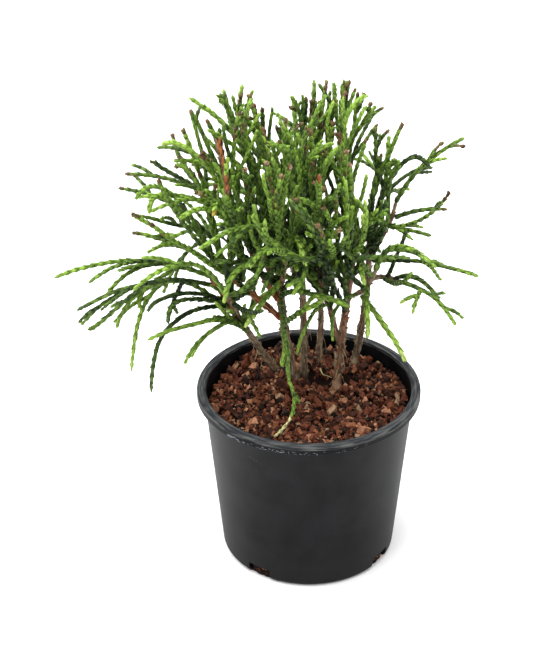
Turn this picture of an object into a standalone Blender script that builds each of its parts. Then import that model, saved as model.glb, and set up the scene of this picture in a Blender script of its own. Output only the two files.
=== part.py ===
"""A young whipcord conifer in its black nursery pot.

Six thin stems rise from one clump behind the middle of the pot. Boughs leave them low down,
and long cords of pressed scale leaves arch out from both, some with shorter cords at their sides.
Lengths below are millimetres unless a name says otherwise. X runs to the right, Y to the back
and Z up, and the origin is the centre of the pot's flat underside.
"""

import math
import random

import bmesh
import bpy
from mathutils import Matrix, Vector
from mathutils.kdtree import KDTree

MM = 0.001
GAP = 0.3
SEAT_GAP = 0.36
SEAT_STEP = 0.1

# The pot
POT_HEIGHT = 116.0
RIM_RADIUS = 70.0
LIP_HEIGHT = 5.6
LIP_EDGE = 1.6
LIP_CHAMFER = 0.8
WALL_TOP_RADIUS = 65.4
BASE_RADIUS = 55.2
BASE_CORNER = 4.0
WALL_THICKNESS = 1.3
FLOOR_THICKNESS = 1.8
POT_STEPS = 48

# The drain notches in the foot of the wall
NOTCH_WIDTH = 16.0
NOTCH_HEIGHT = 8.5
NOTCH_DEPTH = 7.0
FIRST_NOTCH_BEARING = 234.5
NOTCH_COUNT = 4

# The potting mix
SOIL_LEVEL = 105.0
SOIL_EDGE = 1.5

# Stems and boughs. The last four say how much wider than itself a stem is at its foot, how tall the
# foot's upright part is, what is left of the flare over it, and what is left where the flare ends.
LIMB_STEP = 10.0
FLARE_HEIGHT = 5.0
ROOT_FLARE = 1.55
FOOT_HEIGHT = 1.2
FOOT_NARROWING = 0.92
FLARE_END = 1.08
AXIS_STEPS = 60
LAST_SEAT = 0.5

# Cords of foliage
RING_STEP = 9.0
FLATTENING = 0.66
LEADER_SIDES = 4
SIDE_CORD_SIDES = 3
MAIN_CORD = 1.9
FORK_CORD = 1.7
SIDE_CORD = 1.55
CORD_TAPER = 0.82
TIP_SIZE = 0.45
TIP_LENGTH = 1.2
FORK_SHARES = (0.35, 0.5)
SIDE_ZONE = (0.3, 0.85)
SIDE_ANGLES = (24.0, 44.0)
SIDE_ROLLS = (-15.0, 40.0)
SIDE_LENGTHS = (0.45, 0.75)
SIDE_EXTRA = 6.0
SIDE_ARCH = 0.08
FIRST_SEED = 40

# Clearance between one node's cords and the next
SAMPLE_STEP = 1.5
CLEARANCE = 0.8
OWN_LIMB_LENGTH = 9.0
SWAYS = (0.0, 0.06, -0.06, 0.12, -0.12, 0.18, -0.18, 0.24, -0.24)
LOWEST_CORD = 3.0
LOWEST_SIDE_CORD = 24.0
LOWEST_OVER_RIM = 15.0
RIM_MARGIN = 4.0

# A direction with less than this level share counts as upright. Its side is then taken square to
# the depthways direction.
NEARLY_UPRIGHT = 0.2
DEPTHWAYS = Vector((0.0, 1.0, 0.2))

# A stem: its foot on the soil (x, y), its end (x, y, height over the soil), how far its middle
# stands off the straight line, and its radius at the foot and at the end.
STEMS = {
    "stem_main": ((-8, 24), (-16, 18, 122), (-5, 2, 0), 3.1, 1.5),
    "stem_left": ((-17, 29), (-59, 10, 82), (0, 0, -2), 2.1, 1.4),
    "stem_grey": ((-2, 34), (-6, 30, 112), (1, 0, 0), 2.2, 1.3),
    "stem_thin": ((8, 43), (3, 46, 104), (3, 0, 0), 1.7, 1.2),
    "stem_forked": ((18, 13), (31, 32, 100), (-1, 0, 0), 2.6, 1.3),
    "stem_right": ((30, 40), (38, 45, 108), (4, 1, 0), 2.4, 1.3),
}

# A bough: the stem that carries it, the share of that stem where it leaves, and the rest as above.
BOUGHS = {
    "bough_left_side": ("stem_main", 0.36, (-53, 12, 86), (0, 0, 1), 1.9, 1.3),
    "bough_left_up": ("stem_main", 0.47, (-34, 8, 101), (-2, 0, 0), 1.9, 1.3),
    "bough_left_front": ("stem_left", 0.6, (-50, -18, 86), (0, 0, 3), 1.4, 1.1),
    "bough_main_front": ("stem_main", 0.58, (-14, -14, 108), (0, -3, -3), 1.5, 1.2),
    "bough_main_back": ("stem_main", 0.52, (-40, 52, 108), (0, 3, -3), 1.6, 1.2),
    "bough_grey_back": ("stem_grey", 0.5, (-22, 74, 90), (0, 3, 2), 1.5, 1.2),
    "bough_thin_back": ("stem_thin", 0.5, (8, 82, 86), (0, 3, 2), 1.3, 1.1),
    "bough_fork_inner": ("stem_forked", 0.26, (3, 18, 98), (0, 0, 0), 1.7, 1.2),
    "bough_fork_front": ("stem_forked", 0.6, (40, 2, 90), (2, -2, -2), 1.3, 1.1),
    "bough_right_low": ("stem_right", 0.56, (55, 26, 70), (0, 0, 3), 1.4, 1.1),
    "bough_right_mid": ("stem_right", 0.75, (55, 50, 112), (2, 0, -2), 1.4, 1.1),
    "bough_right_back": ("stem_right", 0.64, (46, 80, 96), (0, 3, 0), 1.4, 1.1),
}

# A mass of foliage: the limb that carries it, the share of that limb where its stem meets it,
# and the tips that its main cords reach. A tip is its bearing round the pot in degrees (0 is
# right, 90 the back, 180 left), its distance from the pot's axis, its height over the soil, and
# how far the cord arches up between, as a share of its length.
MASSES = {
    "left_long": ("stem_left", 1.0, [(178, 154, 86, 0.12), (187, 132, 94, 0.12)]),
    "left_low": ("stem_left", 0.92, [(187, 140, 76, 0.19), (187, 117, 62, 0.18), (188, 138, 67, 0.1)]),
    "left_arch": ("stem_left", 0.58, [(194, 111, 39, 0.46), (196, 88, 71, 0.1)]),
    "left_hang": ("stem_left", 0.74, [(192, 99, 20, 0.36)]),
    "left_foot": ("stem_left", 0.45, [(193, 100, 58, 0.2), (187, 77, 33, 0.12)]),
    "side_mid": ("bough_left_side", 1.0, [(175, 105, 114, 0.07), (192, 97, 116, 0.12)]),
    "side_high": ("bough_left_side", 0.84, [(161, 122, 129, 0.19), (183, 102, 133, 0.0)]),
    "side_crown": ("bough_left_side", 0.66, [(180, 102, 142, 0.28), (186, 94, 137, 0.22)]),
    "front_left": ("bough_left_front", 1.0, [(204, 112, 105, 0.3)]),
    "front_left_high": ("bough_main_front", 0.84, [(215, 77, 131, 0.36), (213, 81, 106, 0.25)]),
    "orange": ("bough_left_up", 1.0, [(169, 53, 181, -0.05), (186, 62, 172, 0.05)]),
    "tall_arch": ("bough_left_up", 0.84, [(157, 76, 192, 0.19), (172, 80, 160, 0.1)]),
    "up_left": ("bough_left_up", 0.62, [(221, 61, 185, -0.1), (205, 66, 160, 0.1)]),
    "back_left_high": ("bough_main_back", 1.0, [(151, 93, 162, -0.15), (140, 93, 171, 0.07)]),
    "back_left": ("bough_main_back", 0.8, [(152, 128, 129, 0.09), (153, 108, 143, 0.0)]),
    "crown_main": ("stem_main", 1.0, [(139, 46, 193, 0.0), (138, 60, 189, -0.1)]),
    "crown_front": ("stem_main", 0.9, [(145, 17, 187, -0.2), (221, 30, 184, 0.1)]),
    "hanging": ("stem_main", 0.52, [(247, 52, 4, 0.2), (234, 28, 35, 0.3)]),
    "front_main": ("bough_main_front", 1.0, [(258, 61, 169, -0.2), (242, 68, 166, -0.2)]),
    "front_low": ("bough_main_front", 0.66, [(266, 40, 117, 0.4), (254, 40, 97, 0.1)]),
    "crown_grey": ("stem_grey", 1.0, [(98, 61, 178, 0.1), (118, 41, 171, 0.0)]),
    "back_grey": ("bough_grey_back", 1.0, [(125, 125, 98, 0.2), (116, 132, 74, 0.35), (132, 108, 126, 0.1)]),
    "back_grey_low": ("bough_grey_back", 0.72, [(141, 126, 66, 0.15), (150, 106, 48, 0.15)]),
    "crown_thin": ("stem_thin", 1.0, [(86, 60, 190, -0.1), (77, 51, 194, 0.0), (99, 88, 150, 0.1)]),
    "back_thin": ("bough_thin_back", 1.0, [(92, 136, 84, 0.25), (82, 126, 112, 0.15), (104, 122, 50, 0.4)]),
    "back_thin_high": ("bough_thin_back", 0.7, [(100, 104, 140, 0.1), (112, 96, 118, 0.2)]),
    "crown_fork": ("stem_forked", 1.0, [(64, 56, 193, -0.15), (58, 57, 187, 0.0), (45, 57, 181, 0.02)]),
    "front_fork": ("stem_forked", 0.88, [(303, 36, 166, -0.18), (327, 37, 149, -0.2)]),
    "inner_front": ("bough_fork_inner", 1.0, [(279, 61, 144, -0.09), (276, 40, 168, -0.1)]),
    "inner_low": ("bough_fork_inner", 0.66, [(186, 8, 35, 0.15)]),
    "fork_right": ("bough_fork_front", 1.0, [(344, 73, 108, 0.3), (352, 76, 99, 0.15)]),
    "fork_right_low": ("bough_fork_front", 0.3, [(339, 62, 41, 0.06)]),
    "crown_right": ("stem_right", 1.0, [(41, 76, 165, 0.02), (42, 54, 169, -0.05), (36, 69, 145, 0.0)]),
    "crown_right_back": ("stem_right", 0.88, [(51, 80, 152, 0.0), (44, 108, 124, 0.12)]),
    "right_high": ("bough_right_mid", 1.0, [(28, 108, 155, 0.09), (26, 94, 146, 0.1)]),
    "right_back_high": ("bough_right_mid", 0.7, [(25, 95, 112, 0.08)]),
    "right_low": ("stem_right", 0.69, [(6, 104, 81, 0.06)]),
    "right_inner": ("bough_right_low", 1.0, [(0, 90, 53, 0.15), (356, 63, 64, 0.1), (8, 81, 65, 0.15)]),
    "right_back": ("bough_right_back", 1.0, [(60, 128, 88, 0.15), (74, 126, 116, 0.1)]),
    "right_back_low": ("bough_right_back", 0.7, [(37, 99, 84, 0.0), (29, 100, 119, -0.1)]),
}


def clear_scene():
    """Removes whatever the file holds before the model is made."""
    for old in list(bpy.data.objects):
        bpy.data.objects.remove(old, do_unlink=True)


def new_collection(name, parent):
    collection = bpy.data.collections.new(name)
    parent.children.link(collection)
    return collection


def make_material(name, colour, roughness):
    material = bpy.data.materials.new(name)
    material.use_nodes = True
    shader = material.node_tree.nodes["Principled BSDF"]
    shader.inputs["Base Color"].default_value = (*colour, 1.0)
    shader.inputs["Roughness"].default_value = roughness
    shader.inputs["Metallic"].default_value = 0.0
    material.diffuse_color = (*colour, 1.0)
    return material


def new_object(name, mesh, collection, material=None):
    created = bpy.data.objects.new(name, mesh)
    collection.objects.link(created)
    if material is not None:
        mesh.materials.append(material)
    return created


def mesh_from(shape, name):
    """The mesh in metres of a shape drawn in millimetres, with its faces turned outward."""
    bmesh.ops.scale(shape, vec=Vector((MM, MM, MM)), verts=shape.verts)
    if shape.faces:
        bmesh.ops.recalc_face_normals(shape, faces=shape.faces)
    mesh = bpy.data.meshes.new(name)
    shape.to_mesh(mesh)
    shape.free()
    return mesh


def arc_points(centre, radius, from_angle, to_angle, count):
    """Points of a circle's arc in the profile plane, angles in degrees from +X."""
    points = []
    for index in range(count):
        angle = math.radians(from_angle + (to_angle - from_angle) * index / (count - 1))
        points.append((centre[0] + radius * math.cos(angle), centre[1] + radius * math.sin(angle)))
    return points


def turned(name, profile, collection, material):
    """A solid turned about the Z axis from a profile that runs from the axis over the top and
    down the outside to the axis again."""
    shape = bmesh.new()
    corners = [shape.verts.new((radius, 0.0, height)) for radius, height in profile]
    for before, after in zip(corners, corners[1:]):
        shape.edges.new((before, after))
    created = new_object(name, mesh_from(shape, name), collection, material)
    screw = created.modifiers.new("Turn", "SCREW")
    screw.axis = "Z"
    screw.angle = 2.0 * math.pi
    screw.steps = POT_STEPS
    screw.render_steps = POT_STEPS
    screw.use_merge_vertices = True
    screw.merge_threshold = 0.00005
    screw.use_smooth_shade = True
    return created


def outer_wall_radius(height):
    """The wall's outer radius, which widens evenly from the base to the lip."""
    share = height / (POT_HEIGHT - LIP_HEIGHT)
    return BASE_RADIUS + (WALL_TOP_RADIUS - BASE_RADIUS) * share


def inner_wall_radius(height):
    return outer_wall_radius(height) - WALL_THICKNESS


def make_pot(collection, cutters, material):
    """The tapered wall with its lip and flat floor, cut through at the foot by the drain notches."""
    lip_under = POT_HEIGHT - LIP_HEIGHT
    lip_inner = inner_wall_radius(lip_under)
    floor_radius = inner_wall_radius(FLOOR_THICKNESS) - BASE_CORNER * 0.5
    edge_centre = (RIM_RADIUS - LIP_EDGE, POT_HEIGHT - LIP_EDGE)
    corner_centre = (outer_wall_radius(BASE_CORNER) - BASE_CORNER, BASE_CORNER)
    profile = [
        (0.0, FLOOR_THICKNESS),
        (floor_radius, FLOOR_THICKNESS),
        (inner_wall_radius(BASE_CORNER), BASE_CORNER),
        (lip_inner, lip_under),
        (lip_inner, POT_HEIGHT - LIP_CHAMFER),
        (lip_inner + LIP_CHAMFER, POT_HEIGHT),
        *arc_points(edge_centre, LIP_EDGE, 90.0, 0.0, 4),
        (RIM_RADIUS, lip_under + LIP_CHAMFER),
        (RIM_RADIUS - LIP_CHAMFER, lip_under),
        (WALL_TOP_RADIUS, lip_under),
        *arc_points(corner_centre, BASE_CORNER, 0.0, -90.0, 4),
        (0.0, 0.0),
    ]
    pot = turned("pot", profile, collection, material)
    for index in range(NOTCH_COUNT):
        bearing = math.radians(FIRST_NOTCH_BEARING + 360.0 * index / NOTCH_COUNT)
        shape = bmesh.new()
        bmesh.ops.create_cube(shape, size=1.0)
        size = (NOTCH_DEPTH * 2.0, NOTCH_WIDTH, NOTCH_HEIGHT * 2.0)
        bmesh.ops.scale(shape, vec=Vector(size), verts=shape.verts)
        bmesh.ops.translate(shape, vec=Vector((BASE_RADIUS, 0.0, 0.0)), verts=shape.verts)
        bmesh.ops.rotate(shape, verts=shape.verts, matrix=Matrix.Rotation(bearing, 3, "Z"))
        cutter = new_object(f"notch_cutter_{index + 1}", mesh_from(shape, "notch_cutter"), cutters)
        cutter.hide_render = True
        cutter.display_type = "WIRE"
        cut = pot.modifiers.new(f"Notch {index + 1}", "BOOLEAN")
        cut.operation = "DIFFERENCE"
        cut.object = cutter
    return pot


def make_potting_mix(collection, material):
    """The bark mulch and mix that fill the pot, a hair clear of its wall and floor."""
    base = FLOOR_THICKNESS + GAP
    corner = BASE_CORNER + NOTCH_HEIGHT
    notch_radius = BASE_RADIUS - NOTCH_DEPTH - GAP * 2.0
    edge = inner_wall_radius(SOIL_LEVEL - SOIL_EDGE) - GAP * 2.0
    profile = [
        (0.0, SOIL_LEVEL),
        (edge - SOIL_EDGE * 2.0, SOIL_LEVEL),
        (edge, SOIL_LEVEL - SOIL_EDGE),
        (inner_wall_radius(corner) - GAP * 2.0, corner),
        (notch_radius, corner - BASE_CORNER),
        (notch_radius, base),
        (0.0, base),
    ]
    return turned("potting_mix", profile, collection, material)


def bowed(start, end, bow, share):
    """The point at a share of the way along an arc whose middle stands off its chord by bow."""
    control = (start + end) * 0.5 + bow * 2.0
    return start * (1.0 - share) ** 2 + control * (2.0 * share * (1.0 - share)) + end * share**2


def bowed_direction(start, end, bow, share):
    control = (start + end) * 0.5 + bow * 2.0
    return ((control - start) * (1.0 - share) + (end - control) * share).normalized()


def over_soil(x, y, height):
    return Vector((x, y, SOIL_LEVEL + height))


class Limb:
    """A stem or bough: a tapering arc from its foot to its end."""

    def __init__(self, start, end, bow, foot_radius, end_radius):
        self.start = start
        self.end = end
        self.bow = bow
        self.foot_radius = foot_radius
        self.end_radius = end_radius
        self.first = 0.0

    def point(self, share):
        return bowed(self.start, self.end, self.bow, share)

    def direction(self, share):
        return bowed_direction(self.start, self.end, self.bow, share)

    def radius(self, share):
        return self.foot_radius + (self.end_radius - self.foot_radius) * share

    def length(self):
        return (self.end - self.start).length

    def reach_towards(self, way, share, _rings):
        """How far the round section, the same at every ring, reaches in a direction."""
        return self.radius(share) * math.sqrt(max(0.0, 1.0 - self.direction(share).dot(way) ** 2))


def side_gap(path, share, rings, carrier, axis):
    """The gap between the path's near side at a share and the limb that carries it."""
    point = path.point(share)
    nearest, thickness, place = min(axis, key=lambda entry: (entry[0] - point).length)
    carrier_heading = carrier.direction(place)
    outward = point - nearest
    outward -= carrier_heading * outward.dot(carrier_heading)
    if outward.length < thickness:
        return 0.0
    return outward.length - thickness - path.reach_towards(outward.normalized(), share, rings)


def clear_share(path, carrier):
    """The first share along a path from which it stands clear of the limb that carries it."""
    places = [index / AXIS_STEPS for index in range(AXIS_STEPS + 1)]
    axis = [(carrier.point(place), carrier.radius(place), place) for place in places]
    length = path.length()
    share = 0.0
    while share < LAST_SEAT:
        steps = [index / 3 for index in range(4)]
        gaps = [side_gap(path, share + RING_STEP * step / length, step, carrier, axis) for step in steps]
        if min(gaps) >= SEAT_GAP:
            break
        share += SEAT_STEP / length
    return share


def limb_object(name, limb, collection, material, flat_foot):
    """A tapering tube along the limb, with a root flare over a flat cut where it stands on soil."""
    count = max(3, round(limb.length() / LIMB_STEP))
    shares = [limb.first + (1.0 - limb.first) * index / count for index in range(count + 1)]
    points = [(limb.point(share), limb.radius(share)) for share in shares]
    if flat_foot:
        foot = limb.start + Vector((0.0, 0.0, GAP))
        flare_share = FLARE_HEIGHT / limb.length()
        flared = limb.radius(0.0) * ROOT_FLARE
        points = [(foot, flared), (foot + Vector((0.0, 0.0, FOOT_HEIGHT)), flared * FOOT_NARROWING)]
        points.append((limb.point(flare_share), limb.radius(flare_share) * FLARE_END))
        points.extend((limb.point(share), limb.radius(share)) for share in shares[1:])
    curve = bpy.data.curves.new(name, "CURVE")
    curve.dimensions = "3D"
    curve.bevel_depth = MM
    curve.bevel_resolution = 2
    curve.use_fill_caps = True
    spline = curve.splines.new("POLY")
    spline.points.add(len(points) - 1)
    for target, (point, radius) in zip(spline.points, points):
        target.co = (*(point * MM), 1.0)
        target.radius = radius
    created = bpy.data.objects.new(name, curve)
    collection.objects.link(created)
    curve.materials.append(material)
    return created


def plan_limbs():
    """Every stem and bough by name, each bough starting just clear of its stem."""
    limbs = {}
    for name, (foot, end, bow, foot_radius, end_radius) in STEMS.items():
        start = over_soil(*foot, 0.0)
        limbs[name] = Limb(start, over_soil(*end), Vector(bow), foot_radius, end_radius)
    for name, (carrier_name, place, end, bow, foot_radius, end_radius) in BOUGHS.items():
        carrier = limbs[carrier_name]
        limb = Limb(carrier.point(place), over_soil(*end), Vector(bow), foot_radius, end_radius)
        limb.first = clear_share(limb, carrier)
        limbs[name] = limb
    return limbs


def level_side(way):
    """The level direction square to a way, or for an upright one the direction across the view."""
    side = way.cross(Vector((0.0, 0.0, 1.0)))
    if side.length < NEARLY_UPRIGHT * way.length:
        side = way.cross(DEPTHWAYS)
    return side.normalized()


class Cord:
    """One cord of scale leaves: an arc of slowly falling width, from its root to its tip."""

    def __init__(self, start, end, arch, sway, width):
        chord = end - start
        side = level_side(chord)
        rise = side.cross(chord).normalized()
        self.start = start
        self.end = end
        self.bow = (rise * arch + side * sway) * chord.length
        self.normal = chord.cross(self.bow)
        if self.normal.length < 1e-6:
            self.normal = chord.orthogonal()
        self.normal.normalize()
        self.width = width
        self.first = 0.0

    def point(self, share):
        return bowed(self.start, self.end, self.bow, share)

    def direction(self, share):
        return bowed_direction(self.start, self.end, self.bow, share)

    def length(self):
        """The arc's length, closely enough for spacing things along it."""
        middle = self.point(0.5)
        return (middle - self.start).length + (self.end - middle).length

    def radius(self, share):
        return self.width * (1.0 - (1.0 - CORD_TAPER) * share)

    def reach_towards(self, way, share, rings):
        """How far the flattened section, so many rings past the root, reaches in a direction."""
        wide = self.radius(share)
        narrow = wide * FLATTENING
        across = self.direction(share).cross(self.normal)
        sideways = (wide + (narrow - wide) * rings) * abs(way.dot(self.normal))
        upward = (narrow + (wide - narrow) * rings) * abs(way.dot(across))
        return max(sideways, upward)


class Crowd:
    """Where the limbs and cords already stand, so that a new cord can keep clear of them."""

    def __init__(self):
        self.samples = []
        self.widest = 0.0

    def add(self, owner, path):
        count = max(2, round(path.length() / SAMPLE_STEP))
        for index in range(count + 1):
            share = path.first + (1.0 - path.first) * index / count
            self.samples.append((path.point(share), path.radius(share), owner))
            self.widest = max(self.widest, path.radius(share))
        self.tree = KDTree(len(self.samples))
        for index, (point, _, _) in enumerate(self.samples):
            self.tree.insert(point, index)
        self.tree.balance()

    def has_room(self, path, owner, carrier):
        """True where the path stays over the ground and clear of all but its own node and, near
        its root, the limb that carries it."""
        length = path.length()
        count = max(2, round(length / SAMPLE_STEP))
        for index in range(count + 1):
            share = path.first + (1.0 - path.first) * index / count
            point = path.point(share)
            if not over_ground(point):
                return False
            reach = path.radius(share) + self.widest + CLEARANCE
            for _, found, distance in self.tree.find_range(point, reach):
                _, thickness, other = self.samples[found]
                rooted = share * length < OWN_LIMB_LENGTH and other == carrier
                if rooted or other == owner:
                    continue
                if distance < path.radius(share) + thickness + CLEARANCE:
                    return False
        return True


def over_ground(point):
    """True where a point is high enough over the soil, or over the rim and what is beyond it."""
    height = point.z - SOIL_LEVEL
    beside = math.hypot(point.x, point.y) > inner_wall_radius(POT_HEIGHT) - RIM_MARGIN
    return height > (LOWEST_OVER_RIM if beside else LOWEST_CORD)


def tip_place(bearing, reach, height):
    angle = math.radians(bearing)
    return over_soil(reach * math.cos(angle), reach * math.sin(angle), height)


def leader_start(carrier, place, end, arch, width):
    """Where a mass's stem leaves its limb: just past the end of it, or on its axis."""
    if place < 1.0:
        return carrier.point(place)
    heading = carrier.direction(1.0)
    leaving = Cord(carrier.end, end, arch, 0.0, width).direction(0.0)
    lean = min(heading.angle(leaving), math.pi / 2.0)
    return carrier.end + heading * (SEAT_GAP + width * FLATTENING * math.sin(lean))


def main_cords(name, limbs, crowd):
    """A mass's leader and the forks that leave it for the other tips, swayed to keep clear."""
    carrier_name, place, tips = MASSES[name]
    carrier = limbs[carrier_name]
    cords = []
    for order, (bearing, reach, height, arch) in enumerate(tips):
        end = tip_place(bearing, reach, height)
        start = leader_start(carrier, place, end, arch, MAIN_CORD)
        width = MAIN_CORD
        if order:
            start = cords[0].point(FORK_SHARES[order - 1])
            width = FORK_CORD
        for sway in SWAYS:
            cord = Cord(start, end, arch, sway, width)
            if not order and place < 1.0:
                cord.first = clear_share(cord, carrier)
            if crowd.has_room(cord, name, None if order else carrier_name):
                break
        cords.append(cord)
    return cords


def side_cords(name, index, mains, crowd):
    """Shorter cords from the main ones, by seeded dice; one that finds no room is skipped."""
    dice = random.Random(FIRST_SEED + index)
    found = []
    for order, main in enumerate(mains):
        share = dice.uniform(*SIDE_ZONE)
        angle = math.radians(dice.uniform(*SIDE_ANGLES))
        roll = math.radians(dice.uniform(*SIDE_ROLLS))
        size = dice.uniform(*SIDE_LENGTHS)
        cord = side_cord(main, share, angle, roll, size, (-1) ** (index + order))
        high_enough = cord.end.z > SOIL_LEVEL + LOWEST_SIDE_CORD
        if high_enough and crowd.has_room(cord, name, None):
            found.append(cord)
    return found


def plan_masses(limbs):
    """The cords of every mass: all main cords first, then the side cords between them."""
    crowd = Crowd()
    for name, limb in limbs.items():
        crowd.add(name, limb)
    masses = {}
    for name in MASSES:
        masses[name] = main_cords(name, limbs, crowd)
        for cord in masses[name]:
            crowd.add(name, cord)
    for index, name in enumerate(MASSES):
        extra = side_cords(name, index, masses[name], crowd)
        for cord in extra:
            crowd.add(name, cord)
        masses[name] = masses[name] + extra
    return masses


def side_cord(main, share, angle, roll, size, hand):
    """A cord that leaves a main one at an angle, to its right or left hand and a little up or down."""
    heading = main.direction(share)
    across = level_side(heading)
    rise = across.cross(heading)
    out = across * (hand * math.cos(roll)) + rise * math.sin(roll)
    length = size * (1.0 - share) * main.length() + SIDE_EXTRA
    start = main.point(share)
    end = start + (heading * math.cos(angle) + out * math.sin(angle)) * length
    return Cord(start, end, SIDE_ARCH, 0.0, SIDE_CORD)


def cord_mesh(cord, name, sides):
    """A slim core that is wide and narrow by turns, as the pairs of pressed scale leaves stand,
    with a blunt tip. On four sides it is wide one way and then the other."""
    count = max(2, round(cord.length() * (1.0 - cord.first) / RING_STEP))
    shape = bmesh.new()
    rings = []
    for index in range(count + 1):
        share = cord.first + (1.0 - cord.first) * index / count
        wide = cord.radius(share)
        narrow = wide * FLATTENING
        sizes = (narrow, wide) if index % 2 else (wide, narrow)
        rings.append(ring(shape, cord, share, sizes, sides, 0.0))
    last = cord.radius(1.0) * TIP_SIZE
    rings.append(ring(shape, cord, 1.0, (last, last), sides, TIP_LENGTH))
    for before, after in zip(rings, rings[1:]):
        for side in range(sides):
            following = (side + 1) % sides
            near = (before[side], before[following])
            far = (after[following], after[side])
            shape.faces.new((*near, *far))
    shape.faces.new(list(reversed(rings[0])))
    shape.faces.new(rings[-1])
    bmesh.ops.triangulate(shape, faces=shape.faces)
    return mesh_from(shape, name)


def ring(shape, cord, share, sizes, sides, beyond):
    """Corners round the cord's axis, beyond the share by a length along it."""
    heading = cord.direction(share)
    centre = cord.point(share) + heading * beyond
    across = heading.cross(cord.normal)
    if sides != 4:
        sizes = (sizes[0], sizes[0])
    corners = []
    for side in range(sides):
        angle = 2.0 * math.pi * side / sides
        offset = cord.normal * (sizes[0] * math.cos(angle)) + across * (sizes[1] * math.sin(angle))
        corners.append(shape.verts.new(centre + offset))
    return corners


def keep_outer_shell(mesh):
    """Keeps the largest connected surface, which fills hollows sealed between cords."""
    shape = bmesh.new()
    shape.from_mesh(mesh)
    waiting = set(shape.faces)
    shells = []
    while waiting:
        shell = []
        edge_of_search = [waiting.pop()]
        while edge_of_search:
            face = edge_of_search.pop()
            shell.append(face)
            for edge in face.edges:
                for other in edge.link_faces:
                    if other in waiting:
                        waiting.remove(other)
                        edge_of_search.append(other)
        shells.append(shell)
    shells.sort(key=len, reverse=True)
    for shell in shells[1:]:
        bmesh.ops.delete(shape, geom=shell, context="FACES")
    shape.to_mesh(mesh)
    shape.free()


def fused(name, cords, collection, material):
    """One solid from a mass's cords, joined to its leader by a Boolean union."""
    body = new_object(name, cord_mesh(cords[0], name, LEADER_SIDES), collection, material)
    if len(cords) > 1:
        joined = new_collection(f"{name}_cords", bpy.context.scene.collection)
        for order, cord in enumerate(cords[1:]):
            new_object(f"{name}_cord_{order}", cord_mesh(cord, name, SIDE_CORD_SIDES), joined)
        union = body.modifiers.new("Join", "BOOLEAN")
        union.operation = "UNION"
        union.operand_type = "COLLECTION"
        union.collection = joined
        depsgraph = bpy.context.evaluated_depsgraph_get()
        whole = bpy.data.meshes.new_from_object(body.evaluated_get(depsgraph))
        body.modifiers.remove(union)
        body.data = whole
        keep_outer_shell(whole)
        for used in list(joined.objects):
            bpy.data.objects.remove(used, do_unlink=True)
        bpy.data.collections.remove(joined)
    return body


def build():
    clear_scene()
    root = bpy.context.scene.collection
    plant = new_collection("potted_conifer", root)
    cutters = new_collection("cutters", root)
    cutters.hide_render = True
    black_plastic = make_material("black_plastic", (0.03, 0.032, 0.035), 0.5)
    bark_mulch = make_material("bark_mulch", (0.16, 0.06, 0.03), 0.9)
    bark = make_material("bark", (0.17, 0.1, 0.06), 0.85)
    scale_leaves = make_material("scale_leaves", (0.06, 0.16, 0.03), 0.55)
    make_pot(plant, cutters, black_plastic)
    make_potting_mix(plant, bark_mulch)
    limbs = plan_limbs()
    for name, limb in limbs.items():
        limb_object(name, limb, plant, bark, name in STEMS)
    for name, cords in plan_masses(limbs).items():
        fused(f"foliage_{name}", cords, plant, scale_leaves)


build()
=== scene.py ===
# %% [markdown]
# A young whipcord conifer grows in a round black nursery pot, in red-brown bark mulch. Its shoots are
# long cords of small scale leaves that lie pressed along them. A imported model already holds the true
# sizes as plain solids. This lesson loads it as a fixed frame and dresses it, and changes no size.

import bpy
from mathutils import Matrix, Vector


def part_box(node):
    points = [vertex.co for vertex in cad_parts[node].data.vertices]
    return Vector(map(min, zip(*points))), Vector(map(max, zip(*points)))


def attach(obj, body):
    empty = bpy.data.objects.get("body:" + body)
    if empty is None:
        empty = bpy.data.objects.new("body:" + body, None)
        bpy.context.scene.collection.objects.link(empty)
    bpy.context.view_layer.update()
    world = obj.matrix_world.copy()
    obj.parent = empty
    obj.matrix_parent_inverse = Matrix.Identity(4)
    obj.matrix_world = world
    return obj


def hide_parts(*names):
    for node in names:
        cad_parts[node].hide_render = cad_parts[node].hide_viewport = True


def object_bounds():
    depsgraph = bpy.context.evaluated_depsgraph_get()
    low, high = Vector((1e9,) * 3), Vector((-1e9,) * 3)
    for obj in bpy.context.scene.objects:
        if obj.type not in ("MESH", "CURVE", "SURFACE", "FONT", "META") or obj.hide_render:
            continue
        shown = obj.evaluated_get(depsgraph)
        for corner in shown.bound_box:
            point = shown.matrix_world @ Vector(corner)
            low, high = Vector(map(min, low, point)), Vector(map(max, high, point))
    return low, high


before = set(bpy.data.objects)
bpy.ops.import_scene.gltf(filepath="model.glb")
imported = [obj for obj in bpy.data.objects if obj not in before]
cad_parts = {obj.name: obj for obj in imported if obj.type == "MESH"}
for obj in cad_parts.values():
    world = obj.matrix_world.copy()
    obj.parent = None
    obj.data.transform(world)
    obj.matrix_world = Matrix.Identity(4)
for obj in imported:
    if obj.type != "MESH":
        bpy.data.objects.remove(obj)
cad_low, cad_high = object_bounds()
print("solids in the frame:", len(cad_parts))

# %% [markdown]
# Everything below is drawn in millimetres, because a plant this small is measured in them, and is
# scaled to metres only when a mesh is made. The main heights are read from the frame, so the pieces
# can't drift from the solids that they stand for.

# %% Units, main sizes and the piece maker
import math
import random

import bmesh
import bpy
import numpy as np
from mathutils import Matrix, Vector
from mathutils.kdtree import KDTree

MM = 0.001
POT_HEIGHT = round(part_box("pot")[1].z / MM, 1)
RIM_RADIUS = round(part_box("pot")[1].x / MM, 1)
SOIL_LEVEL = round(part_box("potting_mix")[1].z / MM, 1)


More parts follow.
